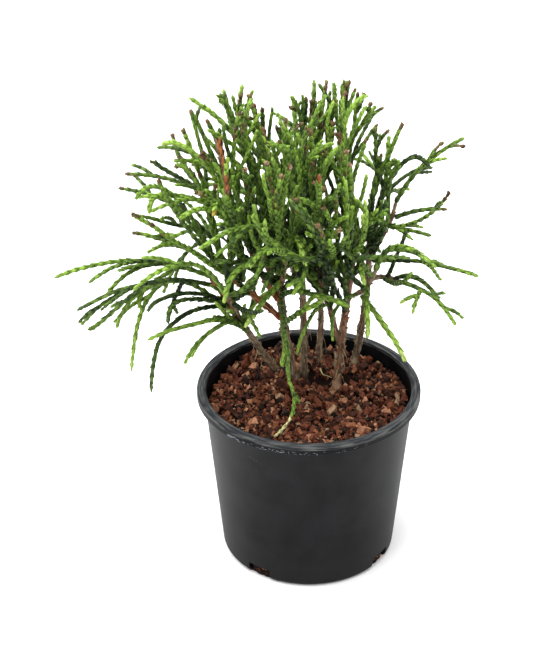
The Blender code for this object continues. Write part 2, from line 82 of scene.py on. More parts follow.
def piece(name, shape, material, nodes=(), smooth=True):
    """A finished piece that rides on the plant and stands for some of its solids. Its shape is a
    mesh, or corners in millimetres with their faces."""
    mesh = shape
    if isinstance(shape, tuple):
        mesh = bpy.data.meshes.new(name)
        mesh.from_pydata((np.asarray(shape[0]) * MM).tolist(), [], shape[1])
        mesh.polygons.foreach_set("use_smooth", [smooth] * len(mesh.polygons))
    made = bpy.data.objects.new(name, mesh)
    bpy.context.scene.collection.objects.link(made)
    mesh.materials.append(material)
    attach(made, "root")
    if nodes:
        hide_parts(*nodes)


print("pot", POT_HEIGHT, "mm high, rim radius", RIM_RADIUS, "mm, soil at", SOIL_LEVEL, "mm")

# %% [markdown]
# The photograph looks down on the pot from about thirty degrees. A camera can be guessed by eye, but
# this one was fitted to the rim, the wall and the foot, so that shapes fall where they do in the
# picture. The focal length is in pixels of a picture 666 high, and becomes a lens in millimetres.

# %% Camera
PICTURE_HEIGHT = 666
SENSOR = 36.0
FOCAL_PIXELS = 1683.28
ELEVATION = math.radians(30.544)
ROLL = math.radians(-0.5884)
CAMERA_PLACE = Vector((-25.979, -890.140, 679.096))

camera_data = bpy.data.cameras.new("camera")
camera_data.sensor_width = SENSOR
camera_data.lens = FOCAL_PIXELS * SENSOR / PICTURE_HEIGHT
camera = bpy.data.objects.new("camera", camera_data)
bpy.context.scene.collection.objects.link(camera)
tilt = Matrix.Rotation(math.pi / 2.0 - ELEVATION, 4, "X")
camera.matrix_world = (
    Matrix.Translation(CAMERA_PLACE * MM) @ tilt @ Matrix.Rotation(ROLL, 4, "Z")
)
bpy.context.scene.camera = camera
print("lens", round(camera_data.lens, 1), "mm")

# %% [markdown]
# The plant was photographed on white under broad, soft light. A wide white floor and large area lights
# give that. Most of the light comes from above, because strong light from the front would wash out the
# black pot. Two lights at the sides draw the pale edges that the pot shows.

# %% Floor and light
FLOOR_SIZE = 8.0
PLANT_MIDDLE = Vector((0.0, 0.0, 0.15))
LIGHTS = {
    "top": ((-0.2, 0.1, 1.6), 1.3, 40.0),
    "front_left": ((-0.9, -1.1, 1.3), 0.8, 9.5),
    "front_right": ((1.0, -1.0, 1.2), 0.9, 4.0),
    "left": ((-1.4, 0.3, 0.5), 0.9, 4.3),
    "right": ((1.4, 0.3, 0.5), 0.9, 3.9),
}
bpy.ops.mesh.primitive_plane_add(size=FLOOR_SIZE)
floor = bpy.context.object
floor.name = "floor"


def new_material(name, roughness, specular):
    """A Principled material and its shader, with the values that are the same all over it."""
    material = bpy.data.materials.new(name)
    material.use_nodes = True
    shader = material.node_tree.nodes["Principled BSDF"]
    shader.inputs["Roughness"].default_value = roughness
    shader.inputs["Specular IOR Level"].default_value = specular
    return material, shader


white_floor, floor_shader = new_material("white_floor", 0.9, 0.1)
floor_shader.inputs["Base Color"].default_value = (0.97, 0.97, 0.97, 1.0)
floor.data.materials.append(white_floor)
world = bpy.data.worlds.new("studio")
world.use_nodes = True
world.node_tree.nodes["Background"].inputs["Color"].default_value = (1.0, 1.0, 1.0, 1.0)
world.node_tree.nodes["Background"].inputs["Strength"].default_value = 0.85
bpy.context.scene.world = world
bpy.context.scene.view_settings.view_transform = "Standard"
for name, (place, size, watts) in LIGHTS.items():
    data = bpy.data.lights.new(name, "AREA")
    data.size = size
    data.energy = watts
    light = bpy.data.objects.new(name, data)
    bpy.context.scene.collection.objects.link(light)
    light.location = place
    light.rotation_euler = (PLANT_MIDDLE - Vector(place)).to_track_quat("-Z", "Y").to_euler()
print("lights:", len(LIGHTS))

# %% [markdown]
# Plastic, bark and leaves all have a colour that is never quite even. One flat colour would look dead,
# and a photograph of the real thing couldn't be used on another plant. So a noise pattern wanders
# between two close shades, and a second, finer one gives a slight relief that breaks up the shine.

# %% Mottled materials
COLOUR_DETAIL = 5.0
BUMP_DETAIL = 6.0


def node(material, kind, output, inputs, **settings):
    """One output of a new shader node. Each input is a value or another node's output."""
    made = material.node_tree.nodes.new(kind)
    for name, value in settings.items():
        setattr(made, name, value)
    for name, value in inputs.items():
        if isinstance(value, bpy.types.NodeSocket):
            material.node_tree.links.new(value, made.inputs[name])
        else:
            made.inputs[name].default_value = value
    return made.outputs[output]


def noise(material, place, scale, detail):
    inputs = {"Vector": place, "Scale": scale, "Detail": detail}
    return node(material, "ShaderNodeTexNoise", "Fac", inputs)


def drawn_out(material, run):
    """The place on the piece, for a pattern that is drawn out along its height by a run under 1."""
    place = node(material, "ShaderNodeTexCoord", "Object", {})
    return node(material, "ShaderNodeMapping", "Vector", {"Vector": place, "Scale": (1.0, 1.0, run)})


def ramp(material, value, edges, shades):
    """The shades that a value runs between, from its first edge to its last."""
    colour = node(material, "ShaderNodeValToRGB", "Color", {"Fac": value})
    for stop, edge, shade in zip(colour.node.color_ramp.elements, edges, shades):
        stop.position = edge
        stop.color = (*shade, 1.0)
    return colour


def mottled(name, roughness, specular, shades, scale, bumps=None, edges=(0.35, 0.65), runs=(1.0, 1.0)):
    """A material whose colour wanders between two shades. Bumps are given by the scale of their
    pattern, their strength and their depth in millimetres."""
    material, shader = new_material(name, roughness, specular)
    pattern = noise(material, drawn_out(material, runs[0]), scale, COLOUR_DETAIL)
    colour = ramp(material, pattern, edges, shades)
    material.node_tree.links.new(colour, shader.inputs["Base Color"])
    if bumps:
        bump_scale, strength, depth = bumps
        height = noise(material, drawn_out(material, runs[1]), bump_scale, BUMP_DETAIL)
        inputs = {"Height": height, "Strength": strength, "Distance": depth * MM}
        normal = node(material, "ShaderNodeBump", "Normal", inputs)
        material.node_tree.links.new(normal, shader.inputs["Normal"])
    return material


BLACK_SHADES = ((0.0022, 0.0023, 0.0028), (0.0062, 0.0064, 0.0074))
SCUFFED_SHADES = ((0.045, 0.047, 0.054), (0.19, 0.20, 0.225))
black_plastic = mottled("black_plastic", 0.5, 0.08, BLACK_SHADES, 55.0, (900.0, 0.25, 0.08))
scuffed_plastic = mottled("scuffed_plastic", 0.7, 0.3, SCUFFED_SHADES, 700.0)
print("plastics:", black_plastic.name, scuffed_plastic.name)

# %% [markdown]
# A used pot carries some dust near its foot, is greyer on its lip, partly from wear and partly as a
# painted highlight, and has pale streaks round the rim where other pots rubbed it. Each is a shade laid
# over the black where the height calls for it. The streaks come from a noise pattern that is drawn out
# round the axis, so that they follow the rim.

# %% Dust, wear and a painted highlight on the pot
STREAK_RUN = 0.006
STREAK_SCALE = 900.0
STREAK_DETAIL = 4.0
STREAK_EDGES = (0.42, 0.72)
NO_STREAK_TO_STREAK = ((0.0, 0.0, 0.0), (1.0, 1.0, 1.0))


def laid_over(material, shade, share):
    """Lays a shade over a material's colour, by a share from 0 to 1 that a node gives."""
    base = material.node_tree.nodes["Principled BSDF"].inputs["Base Color"]
    inputs = {"Factor": share, "A": base.links[0].from_socket, "B": (*shade, 1.0)}
    mixed = node(material, "ShaderNodeMix", "Result", inputs, data_type="RGBA")
    material.node_tree.links.new(mixed, base)


def height_on(material):
    """The height on the piece. Its node has the two level measures too."""
    place = node(material, "ShaderNodeTexCoord", "Object", {})
    return node(material, "ShaderNodeSeparateXYZ", "Z", {"Vector": place})


def dust_and_sheen(material, dust_or_sheen, full, none, most):
    """Lays a shade over a material, at its most at one height and gone at another. It is dust at the
    foot, and on the lip a grey that is partly wear and partly painted highlight.
    """
    inputs = {"Value": height_on(material), "From Min": none * MM, "From Max": full * MM, "To Max": most}
    laid_over(material, dust_or_sheen, node(material, "ShaderNodeMapRange", "Result", inputs))


def worn_round(material, worn, above, most):
    """Lays wear over a material in streaks that run round the axis, above one height."""

    def worked_out(operation, *values):
        return node(material, "ShaderNodeMath", "Value", dict(enumerate(values)), operation=operation)

    height = height_on(material)
    across, deep = (height.node.outputs[axis] for axis in "XY")
    flat = node(material, "ShaderNodeCombineXYZ", "Vector", {"X": across, "Y": deep})
    out = node(material, "ShaderNodeVectorMath", "Value", {0: flat}, operation="LENGTH")
    around = worked_out("MULTIPLY", worked_out("ARCTAN2", deep, across), STREAK_RUN)
    polar = node(material, "ShaderNodeCombineXYZ", "Vector", {"X": out, "Y": around, "Z": height})
    pattern = noise(material, polar, STREAK_SCALE, STREAK_DETAIL)
    streaks = ramp(material, pattern, STREAK_EDGES, NO_STREAK_TO_STREAK)
    on_lip = worked_out("MULTIPLY", worked_out("GREATER_THAN", height, above * MM), most)
    laid_over(material, worn, worked_out("MULTIPLY", streaks, on_lip))


dust_and_sheen(black_plastic, (0.014, 0.014, 0.013), 0.0, 34.0, 0.5)
# The lip's bluish grey is partly wear and partly a painted highlight.
dust_and_sheen(black_plastic, (0.021, 0.024, 0.028), POT_HEIGHT, POT_HEIGHT - 2.4, 0.9)
worn_round(black_plastic, (0.140, 0.140, 0.134), POT_HEIGHT - 2.2, 0.7)
print("nodes in the black:", len(black_plastic.node_tree.nodes))

# %% [markdown]
# The pot is a turned shape: a flat floor, a wall that widens evenly, and a rolled lip. A Screw modifier
# turns half of its outline about the axis. The same outline with few steps made the solid, and here it
# has many, so that the rim is smooth. Four notches are cut through the foot for drainage.

# %% The pot
LIP_HEIGHT = 5.6
WALL_TOP_RADIUS = 65.4
BASE_RADIUS = 55.2
BASE_CORNER = 4.0
WALL_THICKNESS = 1.3
FLOOR_THICKNESS = 1.8
NOTCH_SIZE = (14.0, 16.0, 17.0)
NOTCH_BEARINGS = [234.5 + 90.0 * index for index in range(4)]
TURN_STEPS = 160
LIP_UNDER = POT_HEIGHT - LIP_HEIGHT
IN_ROUND, OUT_ROUND, UNDER_ROUND = 1.2, 1.6, 0.8


def wall_radius(height):
    """The wall's outer radius, which widens evenly from the foot to the lip."""
    return BASE_RADIUS + (WALL_TOP_RADIUS - BASE_RADIUS) * height / LIP_UNDER


def inner_radius(height):
    return wall_radius(height) - WALL_THICKNESS


def arc(centre, radius, from_angle, to_angle, count):
    """Points of an arc in the outline's plane, with angles in degrees from the outward side."""
    angles = np.radians(np.linspace(from_angle, to_angle, count))
    return [(centre[0] + radius * math.cos(a), centre[1] + radius * math.sin(a)) for a in angles]


def turned_mesh(name, outline, cutters=()):
    """The mesh of an outline turned about the Z axis, with cutters taken out of it."""
    shape = bmesh.new()
    corners = [shape.verts.new((radius * MM, 0.0, height * MM)) for radius, height in outline]
    for before, after in zip(corners, corners[1:]):
        shape.edges.new((before, after))
    line = bpy.data.meshes.new(name)
    shape.to_mesh(line)
    shape.free()
    holder = bpy.data.objects.new(name, line)
    bpy.context.scene.collection.objects.link(holder)
    screw = holder.modifiers.new("Turn", "SCREW")
    screw.steps = TURN_STEPS
    screw.render_steps = TURN_STEPS
    screw.use_merge_vertices = True
    screw.merge_threshold = 0.05 * MM
    screw.use_smooth_shade = True
    for cutter in cutters:
        cut = holder.modifiers.new("Cut", "BOOLEAN")
        cut.operation = "DIFFERENCE"
        cut.object = cutter
    depsgraph = bpy.context.evaluated_depsgraph_get()
    mesh = bpy.data.meshes.new_from_object(holder.evaluated_get(depsgraph))
    bpy.data.objects.remove(holder, do_unlink=True)
    mesh.set_sharp_from_angle(angle=math.radians(40.0))
    return mesh


def notch_cutter(bearing):
    bpy.ops.mesh.primitive_cube_add(size=1.0)
    cutter = bpy.context.object
    cutter.scale = Vector(NOTCH_SIZE) * MM
    angle = math.radians(bearing)
    cutter.location = (BASE_RADIUS * math.cos(angle) * MM, BASE_RADIUS * math.sin(angle) * MM, 0.0)
    cutter.rotation_euler.z = angle
    return cutter


lip_inner = inner_radius(LIP_UNDER)
pot_outline = [
    (0.0, FLOOR_THICKNESS),
    (inner_radius(FLOOR_THICKNESS) - BASE_CORNER * 0.5, FLOOR_THICKNESS),
    (inner_radius(BASE_CORNER), BASE_CORNER),
    (lip_inner, LIP_UNDER),
    *arc((lip_inner + IN_ROUND, POT_HEIGHT - IN_ROUND), IN_ROUND, 180.0, 90.0, 6),
    *arc((RIM_RADIUS - OUT_ROUND, POT_HEIGHT - OUT_ROUND), OUT_ROUND, 90.0, 0.0, 8),
    *arc((RIM_RADIUS - UNDER_ROUND, LIP_UNDER + UNDER_ROUND), UNDER_ROUND, 0.0, -90.0, 5),
    (WALL_TOP_RADIUS + 0.5, LIP_UNDER),
    (WALL_TOP_RADIUS, LIP_UNDER - 0.8),
    *arc((wall_radius(BASE_CORNER) - BASE_CORNER, BASE_CORNER), BASE_CORNER, 0.0, -90.0, 9),
    (0.0, 0.0),
]
cutters = [notch_cutter(bearing) for bearing in NOTCH_BEARINGS]
pot_mesh = turned_mesh("pot_shell", pot_outline, cutters)
for cutter in cutters:
    bpy.data.objects.remove(cutter, do_unlink=True)
piece("pot_shell", pot_mesh, black_plastic, ["pot"])
print("pot faces:", len(pot_mesh.polygons))

# %% [markdown]
# The lip's lower edge is rubbed pale at the front left, less and less towards the right, and one long
# scratch runs down the wall below it. Each mark is a thin sliver laid on the plastic. Slivers keep
# their place when the model is used elsewhere, where a painted pattern might move.

# %% Scuffs on the lip and a scratch on the wall
SCUFF_COUNT = 84
SCUFF_CROWDING = 2.4
SCUFF_HEIGHTS = (0.8, 2.4)
SCUFF_TURNS = (0.4, 2.2)
SCUFF_WIDTHS = (0.1, 0.45)
MARK_DEPTHS = (-0.1, 0.05)
SCUFF_BEARINGS = (224.0, 300.0)
SCRATCH_PARTS = 9
SCRATCH_BEARINGS = (234.5, 250.0)
SCRATCH_HEIGHTS = (98.6, 93.6)
BOX_FACES = [(0, 1, 3, 2), (4, 6, 7, 5), (0, 4, 5, 1), (2, 3, 7, 6), (0, 2, 6, 4), (1, 5, 7, 3)]


def between(ends, share):
    """The value at a share of the way from one end to the other."""
    return ends[0] + (ends[1] - ends[0]) * share


def sliver(bearings, heights, radii, width):
    """Corners of a thin raised mark that runs from one bearing, height and radius to another."""
    corners = []
    for bearing, height, radius in zip(bearings, heights, radii):
        angle = math.radians(bearing)
        for reach in (radius + MARK_DEPTHS[0], radius + MARK_DEPTHS[1]):
            for half in (-0.5, 0.5):
                corners.append((reach * math.cos(angle), reach * math.sin(angle), height + half * width))
    return corners


def copies(corners, faces):
    """Many copies of a shape as one: their corners come by copy, and all have the same faces."""
    count, size = corners.shape[:2]
    moved = [tuple(copy * size + spot for spot in face) for copy in range(count) for face in faces]
    return corners.reshape(-1, 3), moved


dice = random.Random(5)
marks = []
for _ in range(SCUFF_COUNT):
    share = dice.random() ** SCUFF_CROWDING
    bearing = between(SCUFF_BEARINGS, share)
    height = LIP_UNDER + dice.uniform(*SCUFF_HEIGHTS)
    turn = dice.uniform(*SCUFF_TURNS) * (1.0 - 0.6 * share)
    heights = (height, height + dice.uniform(-0.15, 0.15))
    width = dice.uniform(*SCUFF_WIDTHS) * (1.0 - 0.5 * share)
    marks.append(sliver((bearing, bearing + turn), heights, (RIM_RADIUS, RIM_RADIUS), width))
for index in range(SCRATCH_PARTS):
    shares = (index / SCRATCH_PARTS, (index + 0.8) / SCRATCH_PARTS)
    bearings = [between(SCRATCH_BEARINGS, share) for share in shares]
    heights = [between(SCRATCH_HEIGHTS, share) for share in shares]
    marks.append(sliver(bearings, heights, [wall_radius(height) for height in heights], 0.4 - 0.03 * index))
piece("rim_scuffs", copies(np.array(marks), BOX_FACES), scuffed_plastic, smooth=False)
print("scuffs:", len(marks))

# %% [markdown]
# Under the mulch is a dark, damp mix. It shows between the chips, in a small hollow beside the stems
# and through the notches. It is a closed body like its solid, with a top that rolls gently, sinks at
# the hollow and is heaped up at the back left.

# %% The potting mix
HOLLOW_PLACES = ((-3.0, 32.0), (5.0, 24.0), (14.0, 20.0), (25.0, 25.4))
HOLLOW_RADIUS = 9.0
HOLLOW_DEPTH = 4.6
HEAPS = ((-26.0, 46.0, 30.0, 5.5), (52.0, 40.0, 18.0, 3.0), (-58.0, 0.0, 16.0, 1.6))
MIX_RINGS = 40
MIX_SECTORS = 120
MIX_EDGE = inner_radius(SOIL_LEVEL) - 0.8
MIX_SINK = 2.6
ROLL_HEIGHT = 0.9
SWELL_FADE = 1.6
MIX_FOOT = ((BASE_RADIUS - 8.2, 2.1), (BASE_RADIUS - 8.2, 8.0), (inner_radius(14.0) - 0.6, 14.0))


def swell(x, y, place, radius, height):
    """The height of a round swelling at a place, which fades out over its radius."""
    away = math.hypot(x - place[0], y - place[1]) / radius
    return height * math.exp(-away * away * SWELL_FADE)


def mix_height(x, y):
    """The height of the mix at a place, with its rolls, its long hollow and its heaps."""
    rolls = math.sin(x * 0.21 + 1.0) * math.cos(y * 0.17) + 0.5 * math.sin(x * 0.53 - y * 0.47)
    hollow = max(swell(x, y, place, HOLLOW_RADIUS, HOLLOW_DEPTH) for place in HOLLOW_PLACES)
    heaps = sum(swell(x, y, heap[:2], *heap[2:]) for heap in HEAPS)
    return SOIL_LEVEL - MIX_SINK + ROLL_HEIGHT * rolls - hollow + heaps


def skin(rings, sides):
    """Faces of a closed tube whose corners come ring by ring. The last face closes its far end."""
    faces = []
    for ring in range(rings - 1):
        low, high = ring * sides, (ring + 1) * sides
        for side in range(sides):
            after = (side + 1) % sides
            faces.append((low + side, low + after, high + after, high + side))
    return faces + [tuple(reversed(range(sides))), tuple(range((rings - 1) * sides, rings * sides))]


sectors = [2.0 * math.pi * index / MIX_SECTORS for index in range(MIX_SECTORS)]
ways = [(math.cos(angle), math.sin(angle)) for angle in sectors]
mix_corners = [(radius * x, radius * y, height) for radius, height in MIX_FOOT for x, y in ways]
for ring in range(MIX_RINGS, 0, -1):
    radius = MIX_EDGE * ring / MIX_RINGS
    mix_corners.extend((radius * x, radius * y, mix_height(radius * x, radius * y)) for x, y in ways)
# Each face starts at its inner corner, which settles how it is split in two.
mix_faces = [face[-1:] + face[:-1] for face in skin(MIX_RINGS + len(MIX_FOOT), MIX_SECTORS)]
middle = mix_faces.pop()
mix_faces.extend((*pair, len(mix_corners)) for pair in zip(middle, middle[1:] + middle[:1]))
mix_corners.append((0.0, 0.0, mix_height(0.0, 0.0)))
MIX_SHADES = ((0.004, 0.002, 0.001), (0.016, 0.006, 0.003))
dark_mix = mottled("dark_mix", 0.95, 0.15, MIX_SHADES, 420.0, (700.0, 1.0, 1.0))
piece("mix_body", (mix_corners, mix_faces), dark_mix, ["potting_mix"])
print("mix faces:", len(mix_faces))

# %% [markdown]
# The mulch is thousands of broken chips of bark, two to eight millimetres long, in reds and browns with
# a few tan flakes. Each chip is a small box whose corners are moved at random, so that no two are
# alike. They are dealt out among a few plain colours, one joined mesh for each.

# %% Bark chips
CHIP_COUNT = 4900
CHIP_AREA = MIX_EDGE - 1.6
CHIP_SIZE, CHIP_SPREAD = 1.4, 0.45
CHIP_LIMITS = (0.7, 4.4)
CHIP_HEIGHTS = (-0.6, 4.6)
CHIP_WIDTHS = (0.35, 0.8)
CHIP_DEPTHS = (0.3, 0.7)
CHIP_TILT = 1.05
CHIP_HELD_IN = 0.9
HOLLOW_EDGE = (0.7, 1.0)
BROKEN_SHARES = (0.45, 1.15)
CHIP_COLOURS = {
    "red": (0.29, ((0.060, 0.015, 0.007), (0.160, 0.045, 0.020))),
    "brown": (0.27, ((0.022, 0.007, 0.004), (0.070, 0.022, 0.011))),
    "orange": (0.19, ((0.130, 0.042, 0.018), (0.270, 0.102, 0.046))),
    "copper": (0.07, ((0.260, 0.105, 0.050), (0.480, 0.240, 0.140))),
    "dark": (0.14, ((0.005, 0.002, 0.001), (0.016, 0.006, 0.003))),
    "tan": (0.04, ((0.200, 0.110, 0.058), (0.370, 0.230, 0.135))),
}
BOX_SIGNS = np.array([(x, y, z) for x in (-1, 1) for y in (-1, 1) for z in (-1, 1)], float)


def turns(angles, axis):
    """For each angle, the matrix that turns about an axis: 0 is X, 1 is Y and 2 is Z."""
    one, two = (axis + 1) % 3, (axis + 2) % 3
    made = np.zeros((len(angles), 3, 3))
    made[:, axis, axis] = 1.0
    made[:, one, one] = made[:, two, two] = np.cos(angles)
    made[:, two, one] = np.sin(angles)
    made[:, one, two] = -np.sin(angles)
    return made


def turned_boxes(draw, places, sizes, most_tilt):
    """Broken boxes of given half sizes at given places, each turned and tilted at random."""
    count = len(places)
    corners = BOX_SIGNS * sizes[:, None] * draw.uniform(*BROKEN_SHARES, (count, 8, 3))
    spin = draw.uniform(0.0, 2.0 * math.pi, count)
    lean = draw.uniform(-most_tilt, most_tilt, (count, 2))
    turn = turns(lean[:, 0], 0) @ turns(lean[:, 1], 1) @ turns(spin, 2)
    return places[:, None] + np.einsum("nij,nkj->nki", turn, corners)


draw = np.random.default_rng(11)
reach = CHIP_AREA * np.sqrt(draw.uniform(0.0, 1.0, CHIP_COUNT))
angle = draw.uniform(0.0, 2.0 * math.pi, CHIP_COUNT)
half = np.exp(draw.normal(math.log(CHIP_SIZE), CHIP_SPREAD, CHIP_COUNT)).clip(*CHIP_LIMITS)
reach = np.minimum(reach, MIX_EDGE - half * CHIP_HELD_IN)
x, y = reach * np.cos(angle), reach * np.sin(angle)
z = np.array([mix_height(*spot) for spot in zip(x, y)]) + draw.uniform(*CHIP_HEIGHTS, CHIP_COUNT)
from_hollow = np.min([np.hypot(x - place[0], y - place[1]) for place in HOLLOW_PLACES], axis=0)
kept = from_hollow > HOLLOW_RADIUS * draw.uniform(*HOLLOW_EDGE, CHIP_COUNT)
widths = half * draw.uniform(*CHIP_WIDTHS, CHIP_COUNT)
depths = half * draw.uniform(*CHIP_DEPTHS, CHIP_COUNT)
chips = turned_boxes(draw, np.stack([x, y, z], 1), np.stack([half, widths, depths], 1), CHIP_TILT)
chip_kind = draw.choice(len(CHIP_COLOURS), CHIP_COUNT, p=[share for share, _ in CHIP_COLOURS.values()])
woody = {}
for index, (name, (_, shades)) in enumerate(CHIP_COLOURS.items()):
    woody[name] = mottled(f"chip_{name}", 0.75, 0.2, shades, 380.0, (1400.0, 0.6, 0.3))
    shape = copies(chips[(chip_kind == index) & kept], BOX_FACES)
    piece(f"chips_{name}", shape, woody[name], smooth=False)
print("chips:", int(kept.sum()))

# %% [markdown]
# The mix bulges into the notches, dark, with pale and orange chips worked into its face. A lump of mix
# fills each notch, a little clear of its walls, and the chips are made as the others are. Both are kept
# above the floor that the pot stands on.

# %% Mix and chips in the notches
NOTCH_CHIPS = 15
NOTCH_CHIP_PLACES = ((51.4, 53.2), (-6.2, 6.2), (1.8, 6.6))
NOTCH_CHIP_SIZES = (0.5, 1.3)
NOTCH_CHIP_TILT = 0.7
LUMP_BACK = 47.2
LUMP_FRONT = (53.4, 51.6)
LUMP_HEIGHTS = (0.7, 8.1)
LUMP_HALF = NOTCH_SIZE[1] / 2.0 - 0.5
LUMP_SLICES = 9


def level_ways(bearing):
    """The way out from the axis at a bearing, and the way across it."""
    x, y = math.cos(math.radians(bearing)), math.sin(math.radians(bearing))
    return np.array((x, y, 0.0)), np.array((-y, x, 0.0))


def lump_in_notch(bearing):
    """Corners and faces of the closed lump of mix that fills a notch."""
    out, across = level_ways(bearing)
    corners = []
    for side in np.linspace(-LUMP_HALF, LUMP_HALF, LUMP_SLICES):
        outline = [(LUMP_BACK, LUMP_HEIGHTS[1]), (LUMP_BACK, LUMP_HEIGHTS[0])]
        for step in np.linspace(0.0, 1.0, 5):
            rough = 0.35 * math.sin(side * 2.3 + step * 5.0) - 0.02 * side * side
            outline.append((between(LUMP_FRONT, step) + rough, between(LUMP_HEIGHTS, step)))
        corners.extend(out * reach + across * side + (0.0, 0.0, height) for reach, height in outline)
    return corners, skin(LUMP_SLICES, len(outline))


def joined(shapes):
    """Many shapes as one, each given by its corners and faces."""
    all_corners, all_faces = [], []
    for corners, faces in shapes:
        start = len(all_corners)
        all_corners.extend(corners)
        all_faces.extend(tuple(start + spot for spot in face) for face in faces)
    return all_corners, all_faces


lumps = joined([lump_in_notch(bearing) for bearing in NOTCH_BEARINGS])
piece("mix_in_notches", lumps, dark_mix)
places = []
for out, across in map(level_ways, NOTCH_BEARINGS):
    for _ in range(NOTCH_CHIPS):
        reach, side, height = (draw.uniform(*ends) for ends in NOTCH_CHIP_PLACES)
        places.append(out * reach + across * side + (0.0, 0.0, height))
half = draw.uniform(*NOTCH_CHIP_SIZES, len(places))
chips = turned_boxes(draw, np.array(places), np.stack([half, half * 0.45, half * 0.3], 1), NOTCH_CHIP_TILT)
for first, name in enumerate(("orange", "copper", "red")):
    shape = copies(chips[first::3], BOX_FACES)
    piece(f"notch_chips_{name}", shape, woody[name], smooth=False)
print("chips in notches:", len(places), "lowest", round(chips[:, :, 2].min(), 2), "mm")

# %% [markdown]
# Stems, boughs and cords all follow one rule: a bowed line between two ends, which thins as it goes.
# The rule is the one that made the solids, written again here. A curve object could follow it too, but
# a short class also tells any point and heading on the way, which bark, leaves and twigs all need.

# %% The rule for stems and boughs
def over_soil(x, y, height):
    return Vector((x, y, SOIL_LEVEL + height))


class Bowed:
    """A line whose middle stands off its chord by a bow."""

    def __init__(self, start, end, bow):
        self.start = start
        self.end = end
        self.control = (start + end) * 0.5 + bow * 2.0
        self.first = 0.0

    def point(self, share):
        rest = 1.0 - share
        return self.start * rest**2 + self.control * (2.0 * share * rest) + self.end * share**2

    def direction(self, share):
        turning = (self.control - self.start) * (1.0 - share) + (self.end - self.control) * share
        return turning.normalized()

    def along(self, shares):
        """Points and headings at several shares, as arrays."""
        start, control, end = np.array(self.start), np.array(self.control), np.array(self.end)
        part = np.asarray(shares)[:, None]
        points = start * (1.0 - part) ** 2 + control * (2.0 * part * (1.0 - part)) + end * part**2
        headings = (control - start) * (1.0 - part) + (end - control) * part
        return points, headings / np.linalg.norm(headings, axis=1, keepdims=True)


class Limb(Bowed):
    """A stem or bough, with its radii at the foot and at the end."""

    def __init__(self, start, end, bow, *radii):
        super().__init__(start, end, bow)
        self.radii = radii

    def radius(self, share):
        return between(self.radii, share)

    def length(self):
        return (self.end - self.start).length

    def reach_towards(self, way, share, _rings):
        return self.radius(share) * math.sqrt(max(0.0, 1.0 - self.direction(share).dot(way) ** 2))


upright = Limb(over_soil(0.0, 0.0, 0.0), over_soil(0.0, 0.0, 100.0), Vector(), 2.0, 1.0)
print("an upright stem, halfway:", round(upright.point(0.5).z, 1), "mm high, radius", upright.radius(0.5))

# %% [markdown]
# The tables are the plant's own plan, with places over the soil in millimetres. A stem has a foot, an
# end, a bow and two radii. A bough starts on the axis of the stem that bears it, at a share of it. The
# place where it comes clear of that stem is worked out too, as its scales and strands start there.

# %% Stems and boughs
SEAT_GAP = 0.36
SEAT_STEP = 0.1
AXIS_STEPS = 60
LAST_SEAT = 0.5
RING_STEP = 9.0
STEMS = {
    "stem_main": ((-8, 24), (-16, 18, 122), (-5, 2, 0), 3.1, 1.5),
    "stem_left": ((-17, 29), (-59, 10, 82), (0, 0, -2), 2.1, 1.4),
    "stem_grey": ((-2, 34), (-6, 30, 112), (1, 0, 0), 2.2, 1.3),
    "stem_thin": ((8, 43), (3, 46, 104), (3, 0, 0), 1.7, 1.2),
    "stem_forked": ((18, 13), (31, 32, 100), (-1, 0, 0), 2.6, 1.3),
    "stem_right": ((30, 40), (38, 45, 108), (4, 1, 0), 2.4, 1.3),
}
BOUGHS = {
    "bough_left_side": ("stem_main", 0.36, (-53, 12, 86), (0, 0, 1), 1.9, 1.3),
    "bough_left_up": ("stem_main", 0.47, (-34, 8, 101), (-2, 0, 0), 1.9, 1.3),
    "bough_left_front": ("stem_left", 0.6, (-50, -18, 86), (0, 0, 3), 1.4, 1.1),
    "bough_main_front": ("stem_main", 0.58, (-14, -14, 108), (0, -3, -3), 1.5, 1.2),
    "bough_main_back": ("stem_main", 0.52, (-40, 52, 108), (0, 3, -3), 1.6, 1.2),
    "bough_grey_back": ("stem_grey", 0.5, (-22, 74, 90), (0, 3, 2), 1.5, 1.2),
    "bough_thin_back": ("stem_thin", 0.5, (8, 82, 86), (0, 3, 2), 1.3, 1.1),
    "bough_fork_inner": ("stem_forked", 0.26, (3, 18, 98), (0, 0, 0), 1.7, 1.2),
    "bough_fork_front": ("stem_forked", 0.6, (40, 2, 90), (2, -2, -2), 1.3, 1.1),
    "bough_right_low": ("stem_right", 0.56, (55, 26, 70), (0, 0, 3), 1.4, 1.1),
    "bough_right_mid": ("stem_right", 0.75, (55, 50, 112), (2, 0, -2), 1.4, 1.1),
    "bough_right_back": ("stem_right", 0.64, (46, 80, 96), (0, 3, 0), 1.4, 1.1),
}


def side_gap(path, share, rings, carrier, axis):
    """The gap between a path's near side at a share and the limb that carries it."""
    point = path.point(share)
    nearest, thickness, place = min(axis, key=lambda entry: (entry[0] - point).length)
    carrier_heading = carrier.direction(place)
    outward = point - nearest
    outward -= carrier_heading * outward.dot(carrier_heading)
    if outward.length < thickness:
        return 0.0
    return outward.length - thickness - path.reach_towards(outward.normalized(), share, rings)


def clear_share(path, carrier):
    """The first share along a path from which it stands clear of its carrier."""
    places = [index / AXIS_STEPS for index in range(AXIS_STEPS + 1)]
    axis = [(carrier.point(place), carrier.radius(place), place) for place in places]
    length = path.length()
    share = 0.0
    while share < LAST_SEAT:
        steps = [index / 3 for index in range(4)]
        gaps = [side_gap(path, share + RING_STEP * step / length, step, carrier, axis) for step in steps]
        if min(gaps) >= SEAT_GAP:
            break
        share += SEAT_STEP / length
    return share


